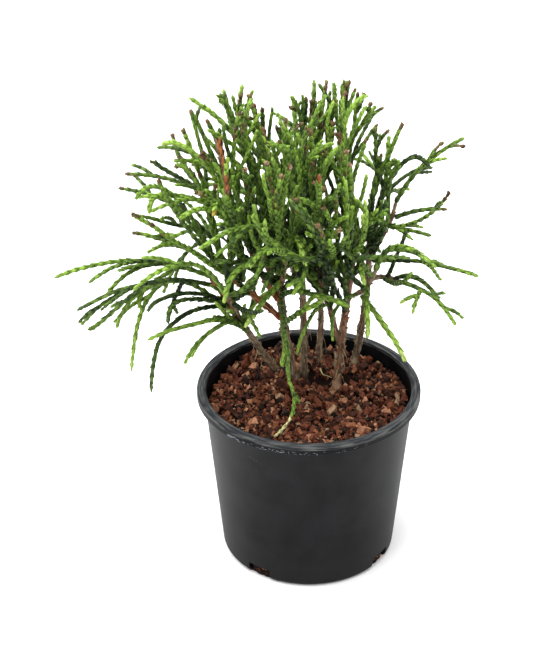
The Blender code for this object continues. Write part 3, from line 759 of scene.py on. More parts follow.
limbs = {}
for name, (foot, end, bow, foot_radius, end_radius) in STEMS.items():
    limbs[name] = Limb(over_soil(*foot, 0.0), over_soil(*end), Vector(bow), foot_radius, end_radius)
for name, (carrier_name, place, end, bow, foot_radius, end_radius) in BOUGHS.items():
    carrier = limbs[carrier_name]
    limbs[name] = Limb(carrier.point(place), over_soil(*end), Vector(bow), foot_radius, end_radius)
    limbs[name].first = clear_share(limbs[name], carrier)
print("stems and boughs:", len(limbs))

# %% [markdown]
# The bark is thin and fibrous. It splits lengthwise into strips, grey-brown on old wood and redder
# where the shoots are young. A tube with many sides gets those strips as real ridges: random heights
# are smoothed far along the limb and only a little round it, so that they turn into long fibres.

# %% Bark on the stems and boughs
BARK_STEP = 0.9
BARK_SIDES = 24
FIBRE_HEIGHT = 0.2
FIBRE_RUN = 11
KNOT_SPACING = 7.5
KNOT_HEIGHT = 0.1
KNOT_SHARPNESS = 60.0
FEWEST_RINGS = 12
FLARE = 0.5
FLARE_LENGTH = 2.8125
BARK_SHADES = {
    "bark_grey": ((0.075, 0.050, 0.030), (0.300, 0.225, 0.145)),
    "bark_red": ((0.070, 0.036, 0.021), (0.270, 0.160, 0.095)),
    "bark_orange": ((0.120, 0.033, 0.010), (0.360, 0.115, 0.036)),
}
RED_LIMBS = {"bough_fork_inner", "stem_forked"}
ORANGE_LIMBS = {"bough_left_up", "bough_left_side"}
BARK_SLIMMER = 0.92
YOUNG_BARK = ("stem_left", 0.55)
FOOT_DEPTH = 5.0
YOUNG_OVERLAP = 0.02
BARK_START = 0.35
BARK_SEED, YOUNG_SEED = 200, 290


def square_to(headings):
    """Two directions square to each heading and to each other."""
    hint = np.where(np.abs(headings[:, 1:2]) < 0.8, [[0.0, 1.0, 0.0]], [[1.0, 0.0, 0.0]])
    first = np.cross(headings, hint)
    first /= np.linalg.norm(first, axis=1, keepdims=True)
    return first, np.cross(headings, first)


def turned_by(first, second, angle):
    """The way at an angle from a first way towards a second one, for single ways or arrays of them."""
    angle = np.asarray(angle)[..., None]
    return first * np.cos(angle) + second * np.sin(angle)


def tube(points, first, second, radii):
    """Corners and faces of a closed tube through rings of given radii."""
    rings, sides = radii.shape
    ways = turned_by(first[:, None], second[:, None], 2.0 * np.pi * np.arange(sides) / sides)
    corners = points[:, None] + ways * radii[:, :, None]
    return corners.reshape(-1, 3).tolist(), skin(rings, sides)


def smoothed(values, run, axis):
    """A running mean over a wrapped axis."""
    return sum(np.roll(values, step, axis) for step in range(-(run // 2), run // 2 + 1)) / run


def bark_tube(limb, seed, has_foot, begin, end):
    """A length of the limb as a tube with long fibres, faint knots and, at a stem's foot, a flare."""
    count = max(FEWEST_RINGS, round(limb.length() * (end - begin) / BARK_STEP))
    shares = np.linspace(begin, end, count)
    points, headings = limb.along(shares)
    rough = np.random.default_rng(seed).normal(0.0, 1.0, (count, BARK_SIDES))
    fibres = smoothed(smoothed(rough, FIBRE_RUN, 0), 3, 1)
    length = shares * limb.length()
    from_knot = (length / KNOT_SPACING) % 1.0 - 0.5
    knots = np.exp(-(from_knot**2) * KNOT_SHARPNESS) * KNOT_HEIGHT
    radii = limb.radius(shares)
    if has_foot:
        flare = 1.0 + FLARE * np.exp(-length / FLARE_LENGTH)
        radii = radii * between((BARK_SLIMMER, 1.0), shares) * flare
        points[0, 2] = SOIL_LEVEL - FOOT_DEPTH
    ridges = 1.0 + fibres / np.abs(fibres).max() * FIBRE_HEIGHT + knots[:, None]
    return tube(points, *square_to(headings), radii[:, None] * ridges)


for name, shades in BARK_SHADES.items():
    woody[name] = mottled(name, 0.9, 0.2, shades, 260.0, (900.0, 0.9, 0.5), (0.38, 0.62), (0.3, 0.25))
bark_count = 0
for seed, (name, limb) in enumerate(limbs.items()):
    shade = "bark_red" if name in RED_LIMBS else "bark_orange" if name in ORANGE_LIMBS else "bark_grey"
    last = YOUNG_BARK[1] + YOUNG_OVERLAP if name == YOUNG_BARK[0] else 1.0
    bark = bark_tube(limb, BARK_SEED + seed, name in STEMS, limb.first * BARK_START, last)
    piece(f"bark_{name}", bark, woody[shade], [name])
    bark_count += len(bark[1])
young = bark_tube(limbs[YOUNG_BARK[0]], YOUNG_SEED, False, YOUNG_BARK[1], 1.0)
piece("bark_young", young, woody["bark_orange"])
print("bark faces:", bark_count)

# %% [markdown]
# Every mass of foliage grows from one limb by the rule of the solids. A row of the plan names the mass,
# its limb and the share of the limb where it leaves. Each tip follows, by bearing, reach, height, arch
# and colouring, as the photograph shows it or, on the side that it hides, as it may look. The first
# cord is the leader and the others fork off it.

# %% The masses and their tips
PLAN = """
left_long stem_left 1, 178 154 86 0.12 green, 187 132 94 0.12 lime
left_low stem_left 0.92, 187 140 76 0.19 deep, 187 117 62 0.18 green, 188 138 67 0.1 deep
left_arch stem_left 0.58, 194 111 39 0.46 lime, 196 88 71 0.1 deep
left_hang stem_left 0.74, 192 99 20 0.36 deep
left_foot stem_left 0.45, 193 100 58 0.2 green, 187 77 33 0.12 green
side_mid bough_left_side 1, 175 105 114 0.07 tuft, 192 97 116 0.12 green
side_high bough_left_side 0.84, 161 122 129 0.19 brown, 183 102 133 0 green
side_crown bough_left_side 0.66, 180 102 142 0.28 lime, 186 94 137 0.22 lime
front_left bough_left_front 1, 204 112 105 0.3 lime
front_left_high bough_main_front 0.84, 215 77 131 0.36 lime, 213 81 106 0.25 lime
orange bough_left_up 1, 169 53 181 -0.05 rust, 186 62 172 0.05 tuft
tall_arch bough_left_up 0.84, 157 76 192 0.19 lime, 172 80 160 0.1 green
up_left bough_left_up 0.62, 221 61 185 -0.1 green, 205 66 160 0.1 lime
back_left_high bough_main_back 1, 151 93 162 -0.15 tuft, 140 93 171 0.07 brown
back_left bough_main_back 0.8, 152 128 129 0.09 brown, 153 108 143 0 brown
crown_main stem_main 1, 139 46 193 0 tuft, 138 60 189 -0.1 lime
crown_front stem_main 0.9, 145 17 187 -0.2 tuft, 221 30 184 0.1 lime
hanging stem_main 0.52, 247 52 4 0.2 pale, 234 28 35 0.3 cool
front_main bough_main_front 1, 258 61 169 -0.2 deep, 242 68 166 -0.2 green
front_low bough_main_front 0.66, 266 40 117 0.4 lime, 254 40 97 0.1 lime
crown_grey stem_grey 1, 98 61 178 0.1 green, 118 41 171 0 brown
back_grey bough_grey_back 1, 125 125 98 0.2 green, 116 132 74 0.35 lime, 132 108 126 0.1 brown
back_grey_low bough_grey_back 0.72, 141 126 66 0.15 green, 150 106 48 0.15 deep
crown_thin stem_thin 1, 86 60 190 -0.1 green, 77 51 194 0 green, 99 88 150 0.1 green
back_thin bough_thin_back 1, 92 136 84 0.25 lime, 82 126 112 0.15 green, 104 122 50 0.4 green
back_thin_high bough_thin_back 0.7, 100 104 140 0.1 brown, 112 96 118 0.2 green
crown_fork stem_forked 1, 64 56 193 -0.15 tuft, 58 57 187 0 brown, 45 57 181 0.02 green
front_fork stem_forked 0.88, 303 36 166 -0.18 green, 327 37 149 -0.2 lime
inner_front bough_fork_inner 1, 279 61 144 -0.09 green, 276 40 168 -0.1 deep
inner_low bough_fork_inner 0.66, 186 8 35 0.15 cool
fork_right bough_fork_front 1, 344 73 108 0.3 lime, 352 76 99 0.15 lime
fork_right_low bough_fork_front 0.3, 339 62 41 0.06 green
crown_right stem_right 1, 41 76 165 0.02 tuft, 42 54 169 -0.05 brown, 36 69 145 0 lime
crown_right_back stem_right 0.88, 51 80 152 0 lime, 44 108 124 0.12 deep
right_high bough_right_mid 1, 28 108 155 0.09 green, 26 94 146 0.1 lime
right_back_high bough_right_mid 0.7, 25 95 112 0.08 brown
right_low stem_right 0.69, 6 104 81 0.06 green
right_inner bough_right_low 1, 0 90 53 0.15 lime, 356 63 64 0.1 green, 8 81 65 0.15 green
right_back bough_right_back 1, 60 128 88 0.15 green, 74 126 116 0.1 lime
right_back_low bough_right_back 0.7, 37 99 84 0 green, 29 100 119 -0.1 tuft
"""
MASSES = {}
for row in PLAN.strip().splitlines():
    (name, limb, place), *tips = (part.split() for part in row.split(","))
    MASSES[name] = (limb, float(place), [(*map(float, tip[:4]), tip[4]) for tip in tips])
print("masses:", len(MASSES), "tips:", sum(len(tips) for _, _, tips in MASSES.values()))

# %% [markdown]
# A cord is a long thin shoot, a little flatter than it is wide, and thinner at its tip. It arches up
# between its ends and may sway a little to one side. Both are given as shares of its length, so that
# long and short cords look alike.

# %% The rule for cords
MAIN_CORD = 1.9
CORD_TAPER = 0.82
FLATTENING = 0.66
NEARLY_UPRIGHT = 0.2
DEPTHWAYS = Vector((0.0, 1.0, 0.2))


def level_side(way):
    """The level direction square to a way, or for an upright one the direction across the view."""
    side = way.cross(Vector((0.0, 0.0, 1.0)))
    if side.length < NEARLY_UPRIGHT * way.length:
        side = way.cross(DEPTHWAYS)
    return side.normalized()


def arched(start, end, arch, sway=0.0):
    """The bow of a line that rises off its chord, and sways aside, by shares of its length."""
    chord = end - start
    side = level_side(chord)
    rise = side.cross(chord).normalized()
    return (rise * arch + side * sway) * chord.length


class Cord(Bowed):
    """One cord of scale leaves, with the colouring of its tip."""

    def __init__(self, start, end, bow, width, finish):
        super().__init__(start, end, bow)
        chord = end - start
        self.normal = chord.cross(bow)
        if self.normal.length < 1e-6:
            self.normal = chord.orthogonal()
        self.normal.normalize()
        self.width = width
        self.finish = finish

    def length(self):
        middle = self.point(0.5)
        return (middle - self.start).length + (self.end - middle).length

    def radius(self, share):
        return self.width * (1.0 - (1.0 - CORD_TAPER) * share)

    def reach_towards(self, way, share, rings):
        wide = self.radius(share)
        narrow = wide * FLATTENING
        across = self.direction(share).cross(self.normal)
        sideways = (wide + (narrow - wide) * rings) * abs(way.dot(self.normal))
        upward = (narrow + (wide - narrow) * rings) * abs(way.dot(across))
        return max(sideways, upward)


print("a main cord is", 2.0 * MAIN_CORD, "mm wide at its root")

# %% [markdown]
# The cords of a real plant push each other aside and never grow through one another. So before a cord
# is kept, the crowd of limbs and cords that already stand is asked if there is room. A tree of sample
# points answers that quickly. Testing the finished meshes against each other would be far slower.

# %% The crowd
SAMPLE_STEP = 1.5
CLEARANCE = 0.8
OWN_LIMB_LENGTH = 9.0
LOWEST_CORD = 3.0
LOWEST_OVER_RIM = 15.0
RIM_MARGIN = 4.0


def over_ground(point):
    """True where a point is high enough over the soil, or over the rim and what is beyond it."""
    height = point.z - SOIL_LEVEL
    beside = math.hypot(point.x, point.y) > inner_radius(POT_HEIGHT) - RIM_MARGIN
    return height > (LOWEST_OVER_RIM if beside else LOWEST_CORD)


def steps_along(path):
    """Shares along a path from where it stands clear, a short step apart."""
    count = max(2, round(path.length() / SAMPLE_STEP))
    return [path.first + (1.0 - path.first) * index / count for index in range(count + 1)]


class Crowd:
    """Where the limbs and cords already stand."""

    def __init__(self):
        self.samples = []

    def add(self, owner, paths):
        for path in paths:
            for share in steps_along(path):
                self.samples.append((path.point(share), path.radius(share), owner))
        self.widest = max(thickness for _, thickness, _ in self.samples)
        self.tree = KDTree(len(self.samples))
        for index, (point, _, _) in enumerate(self.samples):
            self.tree.insert(point, index)
        self.tree.balance()

    def has_room(self, path, owner, carrier, clearance=CLEARANCE):
        """True where a path stays over the ground and clear of all but its own mass and, near its
        root, the limb that carries it."""
        length = path.length()
        for share in steps_along(path):
            point, radius = path.point(share), path.radius(share)
            if not over_ground(point):
                return False
            for _, found, distance in self.tree.find_range(point, radius + self.widest + clearance):
                _, thickness, other = self.samples[found]
                rooted = share * length < OWN_LIMB_LENGTH and other == carrier
                own = rooted or other == owner
                if not own and distance < radius + thickness + clearance:
                    return False
        return True


crowd = Crowd()
for name, limb in limbs.items():
    crowd.add(name, [limb])
print("places that the limbs take:", len(crowd.samples))

# %% [markdown]
# The leader of a mass runs to the first tip of its row, and up to two forks leave it for the others. If
# there is no room, a cord tries to sway to one side and then the other, a little more each time, as
# shoots do that grow round each other.

# %% Leaders and forks
FORK_CORD = 1.7
FORK_SHARES = (0.35, 0.5)
SWAYS = (0.0, 0.06, -0.06, 0.12, -0.12, 0.18, -0.18, 0.24, -0.24)


def leader_start(carrier, place, end, arch):
    """Where a leader leaves its limb: just past the end of it, or on its axis."""
    if place < 1.0:
        return carrier.point(place)
    heading = carrier.direction(1.0)
    leaving = Bowed(carrier.end, end, arched(carrier.end, end, arch)).direction(0.0)
    lean = min(heading.angle(leaving), math.pi / 2.0)
    return carrier.end + heading * (SEAT_GAP + MAIN_CORD * FLATTENING * math.sin(lean))


def main_cords(name):
    """A mass's leader and its forks, each swayed to keep clear."""
    carrier_name, place, tips = MASSES[name]
    carrier = limbs[carrier_name]
    cords = []
    for order, (bearing, reach, height, arch, finish) in enumerate(tips):
        angle = math.radians(bearing)
        end = over_soil(reach * math.cos(angle), reach * math.sin(angle), height)
        start = cords[0].point(FORK_SHARES[order - 1]) if order else leader_start(carrier, place, end, arch)
        width = FORK_CORD if order else MAIN_CORD
        for sway in SWAYS:
            cord = Cord(start, end, arched(start, end, arch, sway), width, finish)
            if not order and place < 1.0:
                cord.first = clear_share(cord, carrier)
            if crowd.has_room(cord, name, None if order else carrier_name):
                break
        cords.append(cord)
    return cords


masses = {}
for name in MASSES:
    masses[name] = main_cords(name)
    crowd.add(name, masses[name])
print("main cords:", sum(len(cords) for cords in masses.values()))

# %% [markdown]
# Next come the shorter cords at the sides. The first set is the one in the solids, with one cord from
# each main cord and the same seeded dice. The rule is then carried on to finer twigs, more of them and
# shorter, wherever the crowd leaves room. Dice with fixed seeds grow the same plant each time.

# %% Side cords
SIDE_CORD = 1.55
SIDE_ZONE = (0.3, 0.85)
SIDE_ANGLES = (24.0, 44.0)
SIDE_ROLLS = (-15.0, 40.0)
SIDE_LENGTHS = (0.45, 0.75)
SIDE_EXTRA = 6.0
SIDE_ARCH = 0.08
FIRST_SEED = 40
LOWEST_SIDE_CORD = 24.0
NO_SIDE_CORDS = ("left_long", "fork_right_low")
SIDE_FINISHES = {
    "green": ("green", "green", "lime"), "lime": ("lime", "green"), "deep": ("deep", "deep", "green"),
    "tuft": ("tuft", "green", "brown"), "brown": ("brown", "green", "deep"), "blush": ("green", "lime"),
    "dark": ("dark", "deep"), "dead": ("deep",), "rust": ("brown", "green"), "ember": ("green", "brown"),
    "gold": ("lime", "green"), "pale": ("cool",), "cool": ("cool",),
}


def outward(heading, hand, roll):
    """The way off a line to its right or left hand, rolled up or down."""
    across = level_side(heading)
    return across * (hand * math.cos(roll)) + across.cross(heading) * math.sin(roll)


def side_cords(name, index):
    """The cords at the sides of a mass's main cords, to one hand and the other by turns."""
    dice = random.Random(FIRST_SEED + index)
    found = []
    for turn, main in enumerate(masses[name], index):
        share = dice.uniform(*SIDE_ZONE)
        angle = math.radians(dice.uniform(*SIDE_ANGLES))
        roll = math.radians(dice.uniform(*SIDE_ROLLS))
        length = dice.uniform(*SIDE_LENGTHS) * (1.0 - share) * main.length() + SIDE_EXTRA
        heading, start = main.direction(share), main.point(share)
        out = outward(heading, (-1) ** turn, roll)
        end = start + (heading * math.cos(angle) + out * math.sin(angle)) * length
        finishes = SIDE_FINISHES[main.finish]
        cord = Cord(start, end, arched(start, end, SIDE_ARCH), SIDE_CORD, finishes[turn % len(finishes)])
        if end.z > SOIL_LEVEL + LOWEST_SIDE_CORD and crowd.has_room(cord, name, None):
            found.append(cord)
    return found


for index, name in enumerate(MASSES):
    extra = side_cords(name, index)
    crowd.add(name, extra)
    if name not in NO_SIDE_CORDS:
        masses[name] = masses[name] + extra
print("main and side cords:", sum(len(cords) for cords in masses.values()))

# %% [markdown]
# On the side that faces us, many cords stand in front of the rest and give the crown its look: lime
# arches that bow over, pinkish tips, an orange dead one. A free rule would put them anywhere, so these
# are listed one by one. A row gives the limb or cord that bears one, the share of it where it leaves, a
# place that it passes and the place of its tip, both as two numbers in the picture and one for how far
# back. "last" is the row before. Three masses bend more than the rule allows and are drawn here too.

# %% Cords that show in front
SHOWN_WIDTH = 1.85
LOW_WIDTHS = {"cool": 1.3, "pale": 1.15}
DRAWN_BY_EYE = ("hanging", "inner_low", "front_left_high")
# Rows that end in "dark" are painted shade: cords in the shade under and inside the crown.
SHOWN = """
bough_fork_inner 0.9 284 240 -20 250 267 -48 lime
bough_fork_inner 0.95 262 226 -32 200 249 -52 lime
bough_main_front 0.75 244 267 -28 224 303 -42 lime
bough_main_front 0.4 264 301 -12 245 327 -36 lime
bough_fork_front 0.25 336 310 -6 333 341 -20 cool
bough_fork_front 0.85 362 266 -10 365 285 -24 lime
bough_fork_front 0.6 367 305 -10 368 338 -20 lime
bough_left_side 0.95 206 195 16 183 130 20 tuft
bough_left_up 0.9 231 180 6 207 120 6 brown
bough_left_up 0.95 218 168 14 191 111 16 brown
bough_left_up 1 234 178 0 240 113 6 tuft
bough_left_up 1 206 166 8 164 144 10 lime
stem_main 0.85 246 150 38 242 87 46 lime
stem_main 0.8 249 160 12 251 99 25 lime
stem_main 0.95 268 155 36 262 108 36 brown
stem_main 0.9 264 160 20 254 106 20 tuft
stem_grey 0.95 304 150 40 306 98 40 brown
stem_grey 1 303 140 36 292 98 36 green
stem_grey 1 300 158 16 326 95 31 lime
stem_thin 0.95 319 160 30 320 103 28 tuft
stem_thin 1 326 170 24 333 124 22 tuft
stem_forked 0.95 342 185 16 340 134 14 tuft
stem_forked 0.9 342 145 16 366 96 33 lime
bough_fork_inner 0.95 304 178 -6 332 144 -14 lime
bough_fork_inner 1 319 190 -10 336 149 -8 lime
bough_fork_inner 1 312 185 6 311 131 0 tuft
bough_main_front 1 292 175 -22 269 144 -30 lime
bough_main_front 1 300 178 -8 279 122 -1 lime
stem_forked 0.85 345 200 0 346 153 -6 blush
stem_forked 0.75 350 215 -6 350 166 -12 blush
bough_main_front 1 281 210 -40 290 168 -48 blush
bough_main_front 0.9 277 220 -42 281 177 -50 blush
bough_main_front 1 275 205 -30 267 164 -40 blush
bough_left_up 1 247 205 -14 245 170 -26 blush
bough_fork_inner 1 318 212 -36 319 179 -50 ember
stem_main 0.8 236 130 30 222 100 30 green
stem_thin 1 330 130 48 334 86 52 green
stem_forked 1 344 125 46 345 85 50 tuft
stem_main 0.48 286 340 -34 289 381 -42 cool
last 1 293 411 -46 274 437 -48 pale
last 0.25 296 396 -47 300 404 -48 cool
stem_main 0.5 284 338 -34 282 366 -40 cool
bough_fork_inner 0.45 310 318 -8 297 354 -16 cool
stem_main 0.5 303 292 -16 350 307 -14 deep
stem_main 0.35 298 314 -8 319 302 -12 deep
bough_left_up 1 233 215 -34 227 199 -38 green
last 0.9 226 182 -38 222 160 -36 dead
last 0.85 219 148 -34 217 130 -30 dead
left_long 0.35 128 274 -4 105 297 -14 green
left_long 0.3 138 266 -2 119 271 -6 green
left_long 0.2 145 290 -8 143 311 -14 green
stem_left 0.8 178 294 -8 148 311 -16 deep
stem_left 0.75 184 300 -10 168 322 -18 deep
bough_right_mid 0.5 392 226 34 413 240 30 green
stem_right 0.85 400 166 44 430 168 42 deep
stem_right 0.9 378 171 40 392 177 38 deep
bough_right_mid 0.6 390 185 44 399 163 46 green
bough_fork_front 0.5 352 262 -4 410 258 14 deep
bough_fork_inner 0.4 322 262 -10 262 264 -8 dark
bough_fork_inner 0.5 330 250 -12 356 262 -6 dark
stem_main 0.6 262 262 -6 226 272 -8 dark
stem_main 0.55 250 268 -2 215 262 -4 dark
stem_forked 0.5 318 262 4 292 250 0 dark
stem_right 0.6 350 252 30 330 246 24 dark
stem_grey 0.55 288 256 20 262 248 14 dark
bough_right_low 0.9 418 279 22 440 302 18 green
bough_fork_inner 1 330 232 -28 324 209 -44 blush
bough_fork_inner 0.9 322 245 -26 338 231 -44 blush
bough_fork_inner 1 318 222 -24 313 206 -38 dark
last 0.95 305 201 -42 294 200 -46 green
bough_fork_inner 1 322 222 -24 321 205 -38 dark
last 0.95 328 199 -42 336 199 -46 green
bough_left_side 0.95 182 221 -14 159 181 -30 tuft
bough_left_side 0.85 180 244 -20 134 215 -34 tuft
bough_left_side 1 172 203 -10 149 212 -22 lime
bough_left_side 1 172 195 0 136 199 -8 lime
bough_left_side 1 201 192 8 178 166 8 tuft
bough_left_up 1 226 206 -20 214 214 -36 gold
bough_left_up 1 216 213 -24 181 218 -40 lime
left_low 0.55 108 316 -12 91 328 -16 green
"""


def seen_at(across, down, depth):
    """The place that shows at a spot of the picture, 533 by 666, and lies at a depth."""
    ray = camera.matrix_world.to_3x3() @ Vector((across - 266.5, 333.0 - down, -FOCAL_PIXELS))
    return CAMERA_PLACE + ray * ((depth - CAMERA_PLACE.y) / ray.y)


shown = []
for row in SHOWN.strip().splitlines():
    name, place, *spots, finish = row.split()
    spots = [float(spot) for spot in spots]
    carrier = shown[-1] if name == "last" else limbs[name] if name in limbs else masses[name][0]
    start, end = carrier.point(float(place)), seen_at(*spots[3:])
    bow = seen_at(*spots[:3]) - (start + end) * 0.5
    shown.append(Cord(start, end, bow, LOW_WIDTHS.get(finish, SHOWN_WIDTH), finish))
crowd.add("shown", shown)
for name in DRAWN_BY_EYE:
    masses[name] = []
print("cords that show in front:", len(shown))

# %% [markdown]
# The finer twigs follow, on the masses' cords and on those in front. Each peels off its parent, keeps
# close to it and is at most as long as what is left of it, as the cords of this plant do. Short spurs
# stand near the tips. Cords far out or low down stay single, and the feet of the stems stay bare.

# %% Finer twigs
TWIG_WIDTH = 1.5
TWIG_SPACING = 17.0
TWIG_ZONE = (0.1, 0.75)
TWIG_ANGLES = (10.0, 24.0)
TWIG_ROLLS = (-50.0, 65.0)
TWIG_SHARES = (0.35, 0.85)
TWIG_EXTRA = 4.0
TWIG_PEEL = 0.62
TWIG_CLEARANCE = 0.1
OUTER_REACH = 66.0
OUTER_CHANCE = 0.25
SINGLE_HEIGHT = 112.0
BARE_HEIGHT = 46.0
BARE_RADIUS = 62.0
SPURS = (0, 0, 1, 1, 2)
SPUR_LENGTHS = (4.0, 7.5)
SPUR_PLACES = (4.0, 18.0)
SPUR_WIDTH = 1.3
FIRST_SPUR = 0.3
TWIG_SEED, SHOWN_SEED = 400, 460


def finer_twig(parent, share, hand, width, slants, lengths, dice):
    """A twig that peels off its parent at an angle and runs on beside it."""
    angle = math.radians(dice.uniform(*slants))
    roll = math.radians(dice.uniform(*TWIG_ROLLS))
    length = dice.uniform(*lengths)
    out = outward(parent.direction(share), hand, roll) * (length * math.sin(angle))
    ahead = min(1.0, share + length * math.cos(angle) / parent.length())
    start, end = parent.point(share), parent.point(ahead) + out
    middle = parent.point((share + ahead) * 0.5) + out * TWIG_PEEL
    finish = dice.choice(SIDE_FINISHES[parent.finish])
    return Cord(start, end, middle - (start + end) * 0.5, width, finish)


def off_axis(point):
    return math.hypot(point.x, point.y)


def within_reach(cord):
    """True where a cord ends inside the solids' own box."""
    return all(low < value * MM < high for low, value, high in zip(cad_low, cord.end, cad_high))


def finer_twigs(name, parents, seed):
    """Twigs along the parents, to one hand and the other by turns, and short spurs near their tips."""
    dice = random.Random(seed)
    drawn = []
    for parent in parents:
        if parent.end.z < SOIL_LEVEL + SINGLE_HEIGHT:
            continue
        count = int(parent.length() * (TWIG_ZONE[1] - TWIG_ZONE[0]) / TWIG_SPACING)
        for index in range(count):
            share = between(TWIG_ZONE, (index + dice.random()) / count)
            lengths = [part * (1.0 - share) * parent.length() + TWIG_EXTRA for part in TWIG_SHARES]
            twig = finer_twig(parent, share, (-1) ** index, TWIG_WIDTH, TWIG_ANGLES, lengths, dice)
            if dice.random() < OUTER_CHANCE or off_axis(twig.end) <= OUTER_REACH:
                drawn.append(twig)
        spurs = dice.choice(SPURS)
        for index in range(spurs if off_axis(parent.end) <= OUTER_REACH else 0):
            share = max(FIRST_SPUR, 1.0 - dice.uniform(*SPUR_PLACES) / parent.length())
            hand = (-1) ** index
            drawn.append(finer_twig(parent, share, hand, SPUR_WIDTH, SIDE_ANGLES, SPUR_LENGTHS, dice))
    found = []
    for twig in drawn:
        bare = twig.end.z < SOIL_LEVEL + BARE_HEIGHT and off_axis(twig.end) < BARE_RADIUS
        if within_reach(twig) and not bare and crowd.has_room(twig, name, None, TWIG_CLEARANCE):
            found.append(twig)
    crowd.add(name, found)
    return found


for index, name in enumerate(MASSES):
    masses[name] = masses[name] + finer_twigs(name, masses[name], TWIG_SEED + index)
masses["shown"] = shown + finer_twigs("shown", shown, SHOWN_SEED)
print("with twigs:", sum(len(cords) for cords in masses.values()))

# %% [markdown]
# Inside the crown the limbs carry many upright cords, which hide most of the wood. Little light reaches
# them, and most take the "dark" finish, whose low rungs of green are painted shade. They leave each limb
# all the way up, turned a little further round it each time as leaves on a stem are. Below them others
# arch outward and down, and veil the bare wood.

# %% Cords inside the crown and under it
INNER_WIDTH = 1.55
INNER_TOUCH = -1.8
INNER_REACH = 62.0
TURN_OF_LEAVES = math.radians(137.5)
# The "dark" finishes here are painted shade for the inside of the crown.
UPRIGHT = {
    "stretch": (0.5, 1.0), "spacing": 1.6, "slants": (20.0, 52.0), "lengths": (22.0, 62.0),
    "lift": 0.25, "arches": (-0.12, 0.05), "lowest": 0.0,
    "finishes": ("dark", "dark", "deep", "dark", "green", "deep", "dark", "brown"),
}
DROOPING = {
    "stretch": (0.4, 0.85), "spacing": 5.6, "slants": (55.0, 86.0), "lengths": (18.0, 48.0),
    "lift": -0.08, "arches": (0.08, 0.24), "lowest": 60.0,
    "finishes": ("deep", "green", "deep", "green", "dark", "deep"),
}


def slanted(heading, turn, slant):
    """The way that leans off a heading by a slant, turned round it by an angle."""
    side = Matrix.Rotation(turn, 3, heading) @ level_side(heading)
    return heading * math.cos(slant) + side * math.sin(slant)


def inner_cords(name, limb, seed, habit):
    """Cords that leave a limb at a slant, turned round it by a fixed angle each time."""
    dice = random.Random(seed)
    stretch = habit["stretch"]
    count = int(limb.length() * (stretch[1] - stretch[0]) / habit["spacing"])
    found = []
    for index in range(count):
        share = min(stretch[1], between(stretch, (index + dice.random()) / count))
        slant = math.radians(dice.uniform(*habit["slants"]))
        way = slanted(limb.direction(share), TURN_OF_LEAVES * index, slant)
        start = limb.point(share)
        lifted = (way + Vector((0.0, 0.0, habit["lift"]))).normalized()
        end = start + lifted * dice.uniform(*habit["lengths"])
        bow = arched(start, end, dice.uniform(*habit["arches"]))
        cord = Cord(start, end, bow, INNER_WIDTH, dice.choice(habit["finishes"]))
        if off_axis(end) > INNER_REACH or end.z < SOIL_LEVEL + habit["lowest"]:
            continue
        if within_reach(cord) and crowd.has_room(cord, name, name, INNER_TOUCH):
            found.append(cord)
            crowd.add(name, [cord])
    return found


inner = []
for habit, first_seed in ((UPRIGHT, 700), (DROOPING, 820)):
    for index, (name, limb) in enumerate(limbs.items()):
        grown = inner_cords(name, limb, first_seed + index, habit)
        inner.extend(grown)
        inner.extend(finer_twigs(name, grown, first_seed + 60 + index))
print("inner cords and twigs:", len(inner))

# %% [markdown]
# The tips differ. Many end in a blunt knob of two to four short brown bits, others run out thin and
# lime green, and more turn brown the higher they stand. The knobs are tiny cords of their own, fanned
# round the end of the cord that bears them. A painted tip would stay as thin as the rest.

# %% Knobs on the tips
KNOB_LENGTHS = (1.8, 3.6)
KNOB_SLANTS = (8.0, 24.0)
KNOB_WIDTH = 1.15
KNOB_MARGIN = 1.2
KNOBBED = {"tuft": "knob", "blush": "blush_knob", "dead": "knob"}
BROWN_HEIGHT = 142.0
BROWN_CHANCE = 0.3
KNOB_COUNTS = (2, 4)
KNOB_PLACE = 0.97
knobs = []
dice = random.Random(91)
all_cords = [cord for cords in masses.values() for cord in cords] + inner
for cord in all_cords:
    high = cord.end.z > SOIL_LEVEL + BROWN_HEIGHT
    if high and cord.finish in ("green", "deep", "dark") and dice.random() < BROWN_CHANCE:
        cord.finish = "tuft"
    if cord.finish not in KNOBBED:
        continue
    count = dice.randint(*KNOB_COUNTS)
    for index in range(count):
        turn = 2.0 * math.pi * (index + dice.random() * 0.5) / count
        way = slanted(cord.direction(1.0), turn, math.radians(dice.uniform(*KNOB_SLANTS)))
        start = cord.point(KNOB_PLACE)
        end = start + way * dice.uniform(*KNOB_LENGTHS)
        knob = Cord(start, end, Vector(), KNOB_WIDTH, KNOBBED[cord.finish])
        if within_reach(knob) and end.z + KNOB_MARGIN < cad_high[2] / MM:
            knobs.append(knob)
all_cords = all_cords + knobs
print("knobs:", len(knobs), "cords in all:", len(all_cords))

# %% [markdown]
# Cords are stout where they arch over in the front of the crown, finer at its top and finest far out.
# Light and shade are painted into their colour: they are made lighter high up, far out and low down,
# as painted light, and darker in the heart of the crown, as painted shade. All this follows from where
# a cord stands, so it is worked out once for each. Each has a tone of its own as well, or the crown
# would look painted, and tips high up or far out are a little duller.

# %% Width, and painted light and shade by place
MEASURED_AT = 0.65
FAR_OUT = (42.0, 88.0)
HIGH_UP = (105.0, 165.0)
SLIMMER_FAR = 0.16
SLIMMER_HIGH = 0.1
# Painted light and painted shade, as rungs of the green ladder.
PAINTED_LIGHT_FAR = 0.1
PAINTED_LIGHT_HIGH = 0.45
DULLER_TIPS = 0.4
OWN_TONE = 0.85
LOW_DOWN = (55.0, 112.0)
PAINTED_LIGHT_LOW = 1.8
HEART = Vector((-8.0, 26.0, 232.0))
HEART_RADIUS = 56.0
HEART_EDGE = (0.45, 1.0)
PAINTED_SHADE_HEART = 0.8


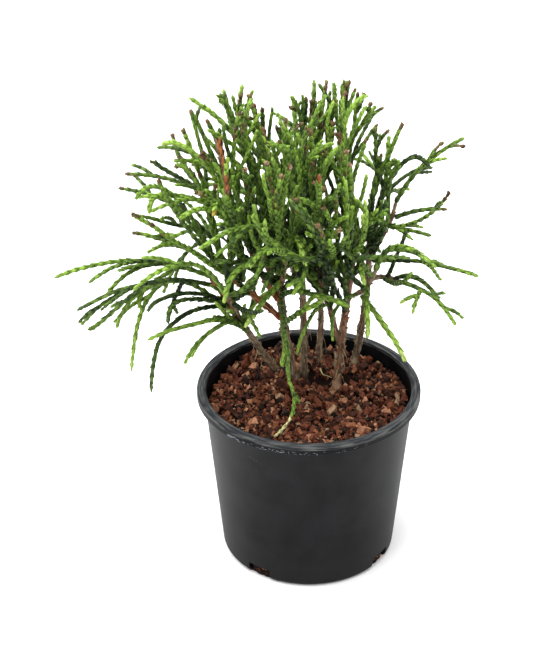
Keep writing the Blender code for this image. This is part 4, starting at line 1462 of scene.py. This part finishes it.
def eased(value, low, high):
    """Rises smoothly from 0 at a low value to 1 at a high one."""
    share = min(max((value - low) / (high - low), 0.0), 1.0)
    return share * share * (3.0 - 2.0 * share)


dice = random.Random(37)
for cord in all_cords:
    place = cord.point(MEASURED_AT)
    far = eased(off_axis(place), *FAR_OUT)
    high = eased(place.z - SOIL_LEVEL, *HIGH_UP)
    low = (1.0 - eased(place.z - SOIL_LEVEL, *LOW_DOWN)) * (1.0 - far)
    in_heart = 1.0 - eased((place - HEART).length / HEART_RADIUS, *HEART_EDGE)
    # Painted light high up, far out and low down, and painted shade in the heart of the crown.
    lighter = max(PAINTED_LIGHT_FAR * far, PAINTED_LIGHT_HIGH * high, PAINTED_LIGHT_LOW * low)
    cord.slim = 1.0 - max(SLIMMER_FAR * far, SLIMMER_HIGH * high)
    cord.light = lighter - PAINTED_SHADE_HEART * in_heart + dice.uniform(-OWN_TONE, OWN_TONE)
    cord.climb = 1.0 - DULLER_TIPS * max(far, high)
print("slimmest cord:", round(min(cord.slim for cord in all_cords), 2), "of its width")

# %% [markdown]
# A cord's scale leaves stand in pairs, each pair turned a quarter round from the last. A leaf is a
# keeled blade with a closed underside: wide at a third of its length, thick along the keel and pointed
# at a tip that lifts a little. One template in shares of the leaf serves for them all.

# %% The scale leaf and the cords' cores
LEAF_RINGS = ((0.00, 0.34, 0.70, 0.72), (0.42, 0.44, 0.98, 0.92), (0.76, 0.60, 1.16, 0.60))
LEAF_TIP = (1.00, 1.20, 0.00)
LEAF_FACES = [
    (1, 2, 5, 4), (0, 1, 4, 3), (4, 5, 8, 7), (3, 4, 7, 6), (7, 8, 9),
    (6, 7, 9), (0, 3, 5, 2), (3, 6, 8, 5), (6, 9, 8), (0, 2, 1),
]
LEAF_PITCH = 1.7
LEAF_OVERLAP = 2.1
CORE_SHARE = 0.66
CORE_SIDES = 6
CORE_LENGTH = 8.0
WANDER = 0.5
WANDER_LENGTH = 60.0
WANDER_WAVES = 0.16
WANDER_PHASES = (0.37, 0.23)
CORE_RINGS, CORE_END = 4, 0.7
PAIR_TWIST = 0.3
LEAF_WIDTHS = (0.9, 1.1)
LEAF_LENGTHS = (0.9, 1.12)
LEAF_LIFTS = (-0.1, 0.22)
TIP_SHORTER = 0.72
TIP_CLOSER = 0.42
leaf_corners = []
for share, edge, keel, half in LEAF_RINGS:
    leaf_corners.extend([(share, edge, -half), (share, keel, 0.0), (share, edge, half)])
LEAF_ALONG, LEAF_UP, LEAF_ACROSS = np.array([*leaf_corners, LEAF_TIP]).T


def leaves_at(points, headings, out, along, up, across):
    """Corners of leaves by their places, headings and outward ways, and three measures for each corner."""
    corners = points[:, None] + headings[:, None] * along[:, :, None] + out[:, None] * up[:, :, None]
    return corners + np.cross(headings, out)[:, None] * across[:, :, None]


def cord_line(cord, shares):
    """Points, headings and a pair of side directions along a cord, with a slight natural wander."""
    points, headings = cord.along(shares)
    normal = np.broadcast_to(np.array(cord.normal), headings.shape)
    size = WANDER * min(1.0, cord.length() / WANDER_LENGTH)
    phase = cord.end.x * WANDER_PHASES[0] + cord.end.z * WANDER_PHASES[1]
    waves = np.sin(shares * cord.length() * WANDER_WAVES + phase) * np.sin(np.pi * shares) * size
    return points + normal * waves[:, None], headings, normal, np.cross(headings, normal)


def leaves_on(cord, draw):
    """Corners of the leaves on a cord, in pairs with a pitch that follows its width, and their shares."""
    leaf = LEAF_PITCH * LEAF_OVERLAP * cord.radius(1.0) * cord.slim * TIP_SHORTER
    last = max(cord.first + 0.2, 1.0 - leaf / cord.length())
    count = max(2, int(cord.length() * (last - cord.first) / (LEAF_PITCH * cord.width * cord.slim)) + 1)
    shares = np.linspace(cord.first, last, count)
    points, headings, normal, across = cord_line(cord, shares)
    out = turned_by(normal, across, np.arange(count) % 2 * (np.pi / 2.0) + PAIR_TWIST * shares)
    shares = np.tile(shares, 2)
    radii = cord.radius(shares) * cord.slim * draw.uniform(*LEAF_WIDTHS, 2 * count)
    lengths = LEAF_PITCH * LEAF_OVERLAP * radii * draw.uniform(*LEAF_LENGTHS, 2 * count)
    lift = draw.uniform(*LEAF_LIFTS, 2 * count)
    at_tip = np.tile(np.arange(count) >= count - 2, 2)
    lengths[at_tip] *= TIP_SHORTER
    lift[at_tip] -= TIP_CLOSER
    up = (LEAF_UP + lift[:, None] * LEAF_ALONG**2) * radii[:, None]
    points, headings, out = np.tile(points, (2, 1)), np.tile(headings, (2, 1)), np.concatenate([out, -out])
    sizes = LEAF_ALONG * lengths[:, None], up, LEAF_ACROSS * radii[:, None]
    return leaves_at(points, headings, out, *sizes), shares


def core_part(cord, begin, end):
    """A length of the slim closed tube inside the leaves, drawn in at both of its ends."""
    shares = np.linspace(begin, end, CORE_RINGS)
    points, _, normal, across = cord_line(cord, shares)
    radii = cord.radius(shares) * cord.slim * CORE_SHARE
    radii[[0, -1]] *= CORE_END
    return tube(points, normal, across, np.repeat(radii[:, None], CORE_SIDES, 1))


print("leaf faces:", len(LEAF_FACES))

# %% [markdown]
# A cord is darkest at its root and brightest at its tip. The greens form a ladder of plain shades, and
# each leaf takes a rung by how far along it stands, with a little chance so that the steps don't show.
# Brown, rust and straw are kept for the tips and for dying scales.

# %% Dealing out the colours
GREENS = ("shade", "deep", "mid", "fresh", "bright", "lime", "yellow")
# The "dark" ladder starts low, as painted shade for cords inside and under the crown.
LADDERS = {
    "dark": (0.2, 1.3), "deep": (0.7, 1.9), "cool": (0.3, 1.6), "green": (1.7, 2.9), "lime": (2.2, 3.5),
    "tuft": (2.0, 2.0), "brown": (1.5, 1.6), "blush": (2.0, 1.8), "rust": (1.6, 1.2),
    "ember": (1.8, 1.6), "gold": (2.4, 3.8), "pale": (1.3, 1.5),
}
CLIMB_START = 0.35
CHANCE = 1.5
WHOLE = math.inf
TIPS = {
    "dead": [(WHOLE, 0.5, "rust", "brown")],
    "knob": [(WHOLE, 0.6, "brown", "olive")],
    "blush_knob": [(WHOLE, 0.5, "blush", "brown")],
    "tuft": [(6.0, 0.3, "brown", "olive")],
    "blush": [(6.0, 0.3, "brown", "olive")],
    "ember": [(11.0, 1.0, "rust", "rust")],
    "gold": [(9.0, 1.0, "gold", "gold")],
    "brown": [(3.6, 1.0, "brown", "brown")],
    "pale": [(14.0, 1.0, "cream", "cream"), (18.5, 0.6, "rust", "cream")],
}
FLECKED = (0.6, 0.86)
RUSTY = (0.62, 0.95)
RUST_CHANCE = 0.8


def leaf_kind(cord, share, chance):
    """The colour of a leaf, by its cord's finish and its distance from the tip."""
    for reach, limit, often, seldom in TIPS.get(cord.finish, ()):
        if (1.0 - share) * cord.length() < reach:
            return often if chance < limit else seldom
    if cord.finish in KNOBBED and share > FLECKED[0] and chance > FLECKED[1]:
        return "brown"
    if cord.finish == "rust" and RUSTY[0] < share < RUSTY[1]:
        return "rust" if chance < RUST_CHANCE else "brown"
    start, climb = LADDERS[cord.finish]
    climbed = max(0.0, share - CLIMB_START) / (1.0 - CLIMB_START)
    # cord.light carries the painted light and shade of the cord's place.
    rung = start + climb * climbed * cord.climb + cord.light + (chance - 0.5) * CHANCE
    return GREENS[int(min(max(rung, 0.0), len(GREENS) - 0.01))]


def inside_box(corners):
    """True for a leaf or core that keeps inside the solids' own box."""
    return (np.min(corners, 0) * MM > cad_low).all() and (np.max(corners, 0) * MM < cad_high).all()


leaves, cores = {}, {}
draw = np.random.default_rng(23)
for cord in all_cords:
    corners, shares = leaves_on(cord, draw)
    for leaf, share, chance in zip(corners, shares, draw.uniform(0.0, 1.0, len(shares))):
        if inside_box(leaf):
            leaves.setdefault(leaf_kind(cord, share, chance), []).append(leaf)
    parts = max(1, round(cord.length() * (1.0 - cord.first) / CORE_LENGTH))
    ends = np.linspace(cord.first, 1.0, parts + 1)
    for begin, end in zip(ends, ends[1:]):
        core = core_part(cord, begin, end)
        if inside_box(core[0]):
            cores.setdefault(leaf_kind(cord, (begin + end) * 0.5, 0.5), []).append(core)
print("leaves of each colour:", {kind: len(found) for kind, found in leaves.items()})

# %% [markdown]
# Fresh conifer leaves are waxy. They have a soft shine, and their colour shifts a little over a few
# millimetres. Each shade is a plain base colour with that slight shift, and the leaves of one shade
# are joined into one mesh, which is far lighter than thousands of separate ones.

# %% Leaf colours and the leaves
LEAF_SHADES = {
    "shade": ((0.013, 0.027, 0.006), (0.024, 0.047, 0.010)),
    "deep": ((0.034, 0.065, 0.012), (0.057, 0.103, 0.017)),
    "mid": ((0.077, 0.139, 0.020), (0.112, 0.192, 0.026)),
    "fresh": ((0.121, 0.212, 0.027), (0.167, 0.280, 0.035)),
    "bright": ((0.177, 0.298, 0.037), (0.234, 0.375, 0.048)),
    "lime": ((0.236, 0.366, 0.058), (0.302, 0.442, 0.084)),
    "yellow": ((0.312, 0.418, 0.092), (0.392, 0.488, 0.138)),
    "olive": ((0.075, 0.066, 0.020), (0.165, 0.145, 0.050)),
    "brown": ((0.060, 0.030, 0.014), (0.170, 0.090, 0.042)),
    "blush": ((0.260, 0.160, 0.095), (0.430, 0.310, 0.205)),
    "rust": ((0.145, 0.046, 0.014), (0.290, 0.105, 0.033)),
    "gold": ((0.400, 0.290, 0.040), (0.520, 0.380, 0.060)),
    "cream": ((0.460, 0.450, 0.180), (0.640, 0.610, 0.310)),
}
waxy = {kind: mottled(f"leaf_{kind}", 0.5, 0.2, shades, 240.0) for kind, shades in LEAF_SHADES.items()}
for kind, found in leaves.items():
    nodes = [f"foliage_{name}" for name in MASSES] if kind == "mid" else ()
    piece(f"leaves_{kind}", copies(np.array(found), LEAF_FACES), waxy[kind], nodes)
for kind, found in cores.items():
    piece(f"cores_{kind}", joined(found), waxy[kind])
print("leaves:", sum(len(found) for found in leaves.values()))

# %% [markdown]
# Old scales dry out and cling to the wood, straw-coloured and grey low down and rusty higher up. They
# use the leaf's template, held further off the limb, with gaps where some have dropped.

# %% Dry scales on the limbs
DRY_PITCH = 2.2
DRY_LENGTH = 5.0
DRY_KEPT = 0.85
DRY_KINDS = {
    "straw": ((0.220, 0.150, 0.080), (0.440, 0.335, 0.205)),
    "grey": ((0.110, 0.080, 0.050), (0.270, 0.215, 0.150)),
    "russet": ((0.120, 0.042, 0.020), (0.260, 0.105, 0.050)),
}
DRY_LENGTHS = (0.6, 1.25)
DRY_LIFTS = (0.1, 1.6)
DRY_WIDTHS = (0.35, 0.65)
BARE_FOOT = 4.0
RUSSET_HEIGHT = 38.0
RUSSET_CHANCES = (0.3, 0.75)
STRAW_CHANCE = 0.45


def dry_scales(limb, draw):
    """Corners of the dead scales on a limb, and the height of each over the soil."""
    count = int(limb.length() * (1.0 - limb.first) / DRY_PITCH)
    shares = limb.first + (1.0 - limb.first) * (np.arange(count) + 0.5) / count
    shares = np.repeat(shares[shares * limb.length() > BARE_FOOT], 3)
    shares = shares[draw.uniform(0.0, 1.0, len(shares)) < DRY_KEPT]
    points, headings = limb.along(shares)
    out = turned_by(*square_to(headings), draw.uniform(0.0, 2.0 * np.pi, len(shares)))
    radii = limb.radius(shares)[:, None]
    along = LEAF_ALONG * DRY_LENGTH * draw.uniform(*DRY_LENGTHS, (len(shares), 1))
    up = LEAF_UP * radii + draw.uniform(*DRY_LIFTS, (len(shares), 1)) * LEAF_ALONG**2
    across = LEAF_ACROSS * draw.uniform(*DRY_WIDTHS, (len(shares), 1)) * radii
    return leaves_at(points, headings, out, along, up, across), points[:, 2] - SOIL_LEVEL


dry = {kind: [] for kind in DRY_KINDS}
draw = np.random.default_rng(31)
for name, limb in limbs.items():
    ruddy = RUSSET_CHANCES[name in RED_LIMBS | ORANGE_LIMBS]
    for scale, height in zip(*dry_scales(limb, draw)):
        chance = draw.uniform()
        kind = "straw" if chance < STRAW_CHANCE else "grey"
        dry["russet" if height > RUSSET_HEIGHT and chance < ruddy else kind].append(scale)
for kind, scales in dry.items():
    woody[kind] = mottled(f"scale_{kind}", 0.9, 0.2, DRY_KINDS[kind], 320.0)
    piece(f"dry_scales_{kind}", copies(np.array(scales), LEAF_FACES), woody[kind], smooth=False)
print("dry scales:", {kind: len(scales) for kind, scales in dry.items()})

# %% [markdown]
# Old bark frays. Thin strands wind along the limbs, others peel off near the feet of the stems, and a
# curly fibre, a pale stick and a pale needle lie on the mulch. Each is a hair-thin tube along a short
# line of points, and the loose strands bend down under their own weight.

# %% Strands, a fibre, a stick and a needle
STRAND_COUNT = 110
STRAND_LENGTHS = (7.0, 20.0)
WINDING_SPACING = 2.0
WINDING_LENGTHS = (9.0, 26.0)
STRAND_PLACES = (0.03, 0.4)
STRAND_HANGS = (-0.9, 0.35)
STRAND_OUT = 0.28
STRAND_POINTS = 6
STRAND_WIDTHS = (0.16, 0.34)
STRAND_LOWEST = 1.2
WINDING_POINTS = 9
WINDING_TURN = 1.6
WINDING_OFF = (0.82, 1.08)
WINDING_WAVES = (4.0, 9.0)
WINDING_WIDTHS = (0.22, 0.5)
LAST_START = 0.97
THINNED = 0.35
CURL = ((50.5, 8.2), (51.6, 10.6), (54.0, 11.0), (56.9, 9.2), (60.4, 7.6), (63.2, 5.6))
STICK = ((-46.1, -9.7), (-43.4, -8.6), (-41.0, -6.4))
NEEDLE = ((8.4, 32.4), (9.3, 30.0), (11.0, 27.6), (13.2, 25.9), (15.6, 25.0))


def thin_tube(points, thickness):
    """A four-sided tube through points, pointed at its far end."""
    headings = np.gradient(np.array(points), axis=0)
    headings /= np.linalg.norm(headings, axis=1, keepdims=True)
    radii = thickness * np.linspace(1.0, THINNED, len(points))
    return tube(np.array(points), *square_to(headings), np.repeat(radii[:, None], 4, 1))


def strand(draw, limb):
    """A strand that leaves a stem low down and curls outward and down."""
    share = draw.uniform(*STRAND_PLACES)
    points, headings = limb.along([share])
    out = turned_by(*square_to(headings), draw.uniform(0.0, 2.0 * np.pi))[0]
    length = draw.uniform(*STRAND_LENGTHS)
    hang = draw.uniform(*STRAND_HANGS)
    steps = np.linspace(0.0, 1.0, STRAND_POINTS)
    off = limb.radius(share) * 0.8 + length * STRAND_OUT * steps * (1.0 - 0.3 * steps)
    line = points + out * off[:, None]
    line[:, 2] = np.maximum(line[:, 2] + hang * length * steps**1.4, SOIL_LEVEL + STRAND_LOWEST)
    return thin_tube(line, draw.uniform(*STRAND_WIDTHS))


def winding_strand(draw, limb):
    """A strand that clings to a limb and winds a little round it."""
    run = draw.uniform(*WINDING_LENGTHS) / limb.length()
    begin = draw.uniform(limb.first, max(limb.first, LAST_START - run))
    points, headings = limb.along(np.linspace(begin, min(1.0, begin + run), WINDING_POINTS))
    steps = np.linspace(0.0, 1.0, WINDING_POINTS)
    turn = draw.uniform(0.0, 2.0 * np.pi) + steps * draw.uniform(-WINDING_TURN, WINDING_TURN)
    off = draw.uniform(*WINDING_OFF) + 0.12 * np.sin(steps * draw.uniform(*WINDING_WAVES))
    out = turned_by(*square_to(headings), turn) * limb.radius(begin)
    return thin_tube(points + out * off[:, None], draw.uniform(*WINDING_WIDTHS))


def lying(spots, height):
    """A smooth line through spots on the mulch, held a little over it."""
    steps = np.linspace(0.0, len(spots) - 1.0, 4 * len(spots))
    across, deep = (np.interp(steps, range(len(spots)), [spot[side] for spot in spots]) for side in (0, 1))
    return [(x, y, mix_height(x, y) + height) for x, y in zip(across, deep)]


draw = np.random.default_rng(57)
stems = [limbs[name] for name in STEMS]
strands = {kind: [] for kind in DRY_KINDS}
for index in range(STRAND_COUNT):
    strands["straw" if index % 3 else "grey"].append(strand(draw, stems[draw.integers(len(stems))]))
for name, limb in limbs.items():
    for index in range(int(limb.length() * (1.0 - limb.first) / WINDING_SPACING)):
        ruddy = name in RED_LIMBS | ORANGE_LIMBS and index % 2
        kind = "russet" if ruddy else ("straw", "grey", "grey", "russet")[index % 4]
        strands[kind].append(winding_strand(draw, limb))
for kind, found in strands.items():
    piece(f"strands_{kind}", joined(found), woody[kind])
piece("loose_fibre", thin_tube(lying(CURL, 5.0), 0.34), woody["orange"])
piece("pale_stick", thin_tube(lying(STICK, 4.6), 0.8), woody["tan"])
piece("fallen_needle", thin_tube(lying(NEEDLE, 5.0), 0.42), waxy["cream"])
print("strands:", sum(len(found) for found in strands.values()))
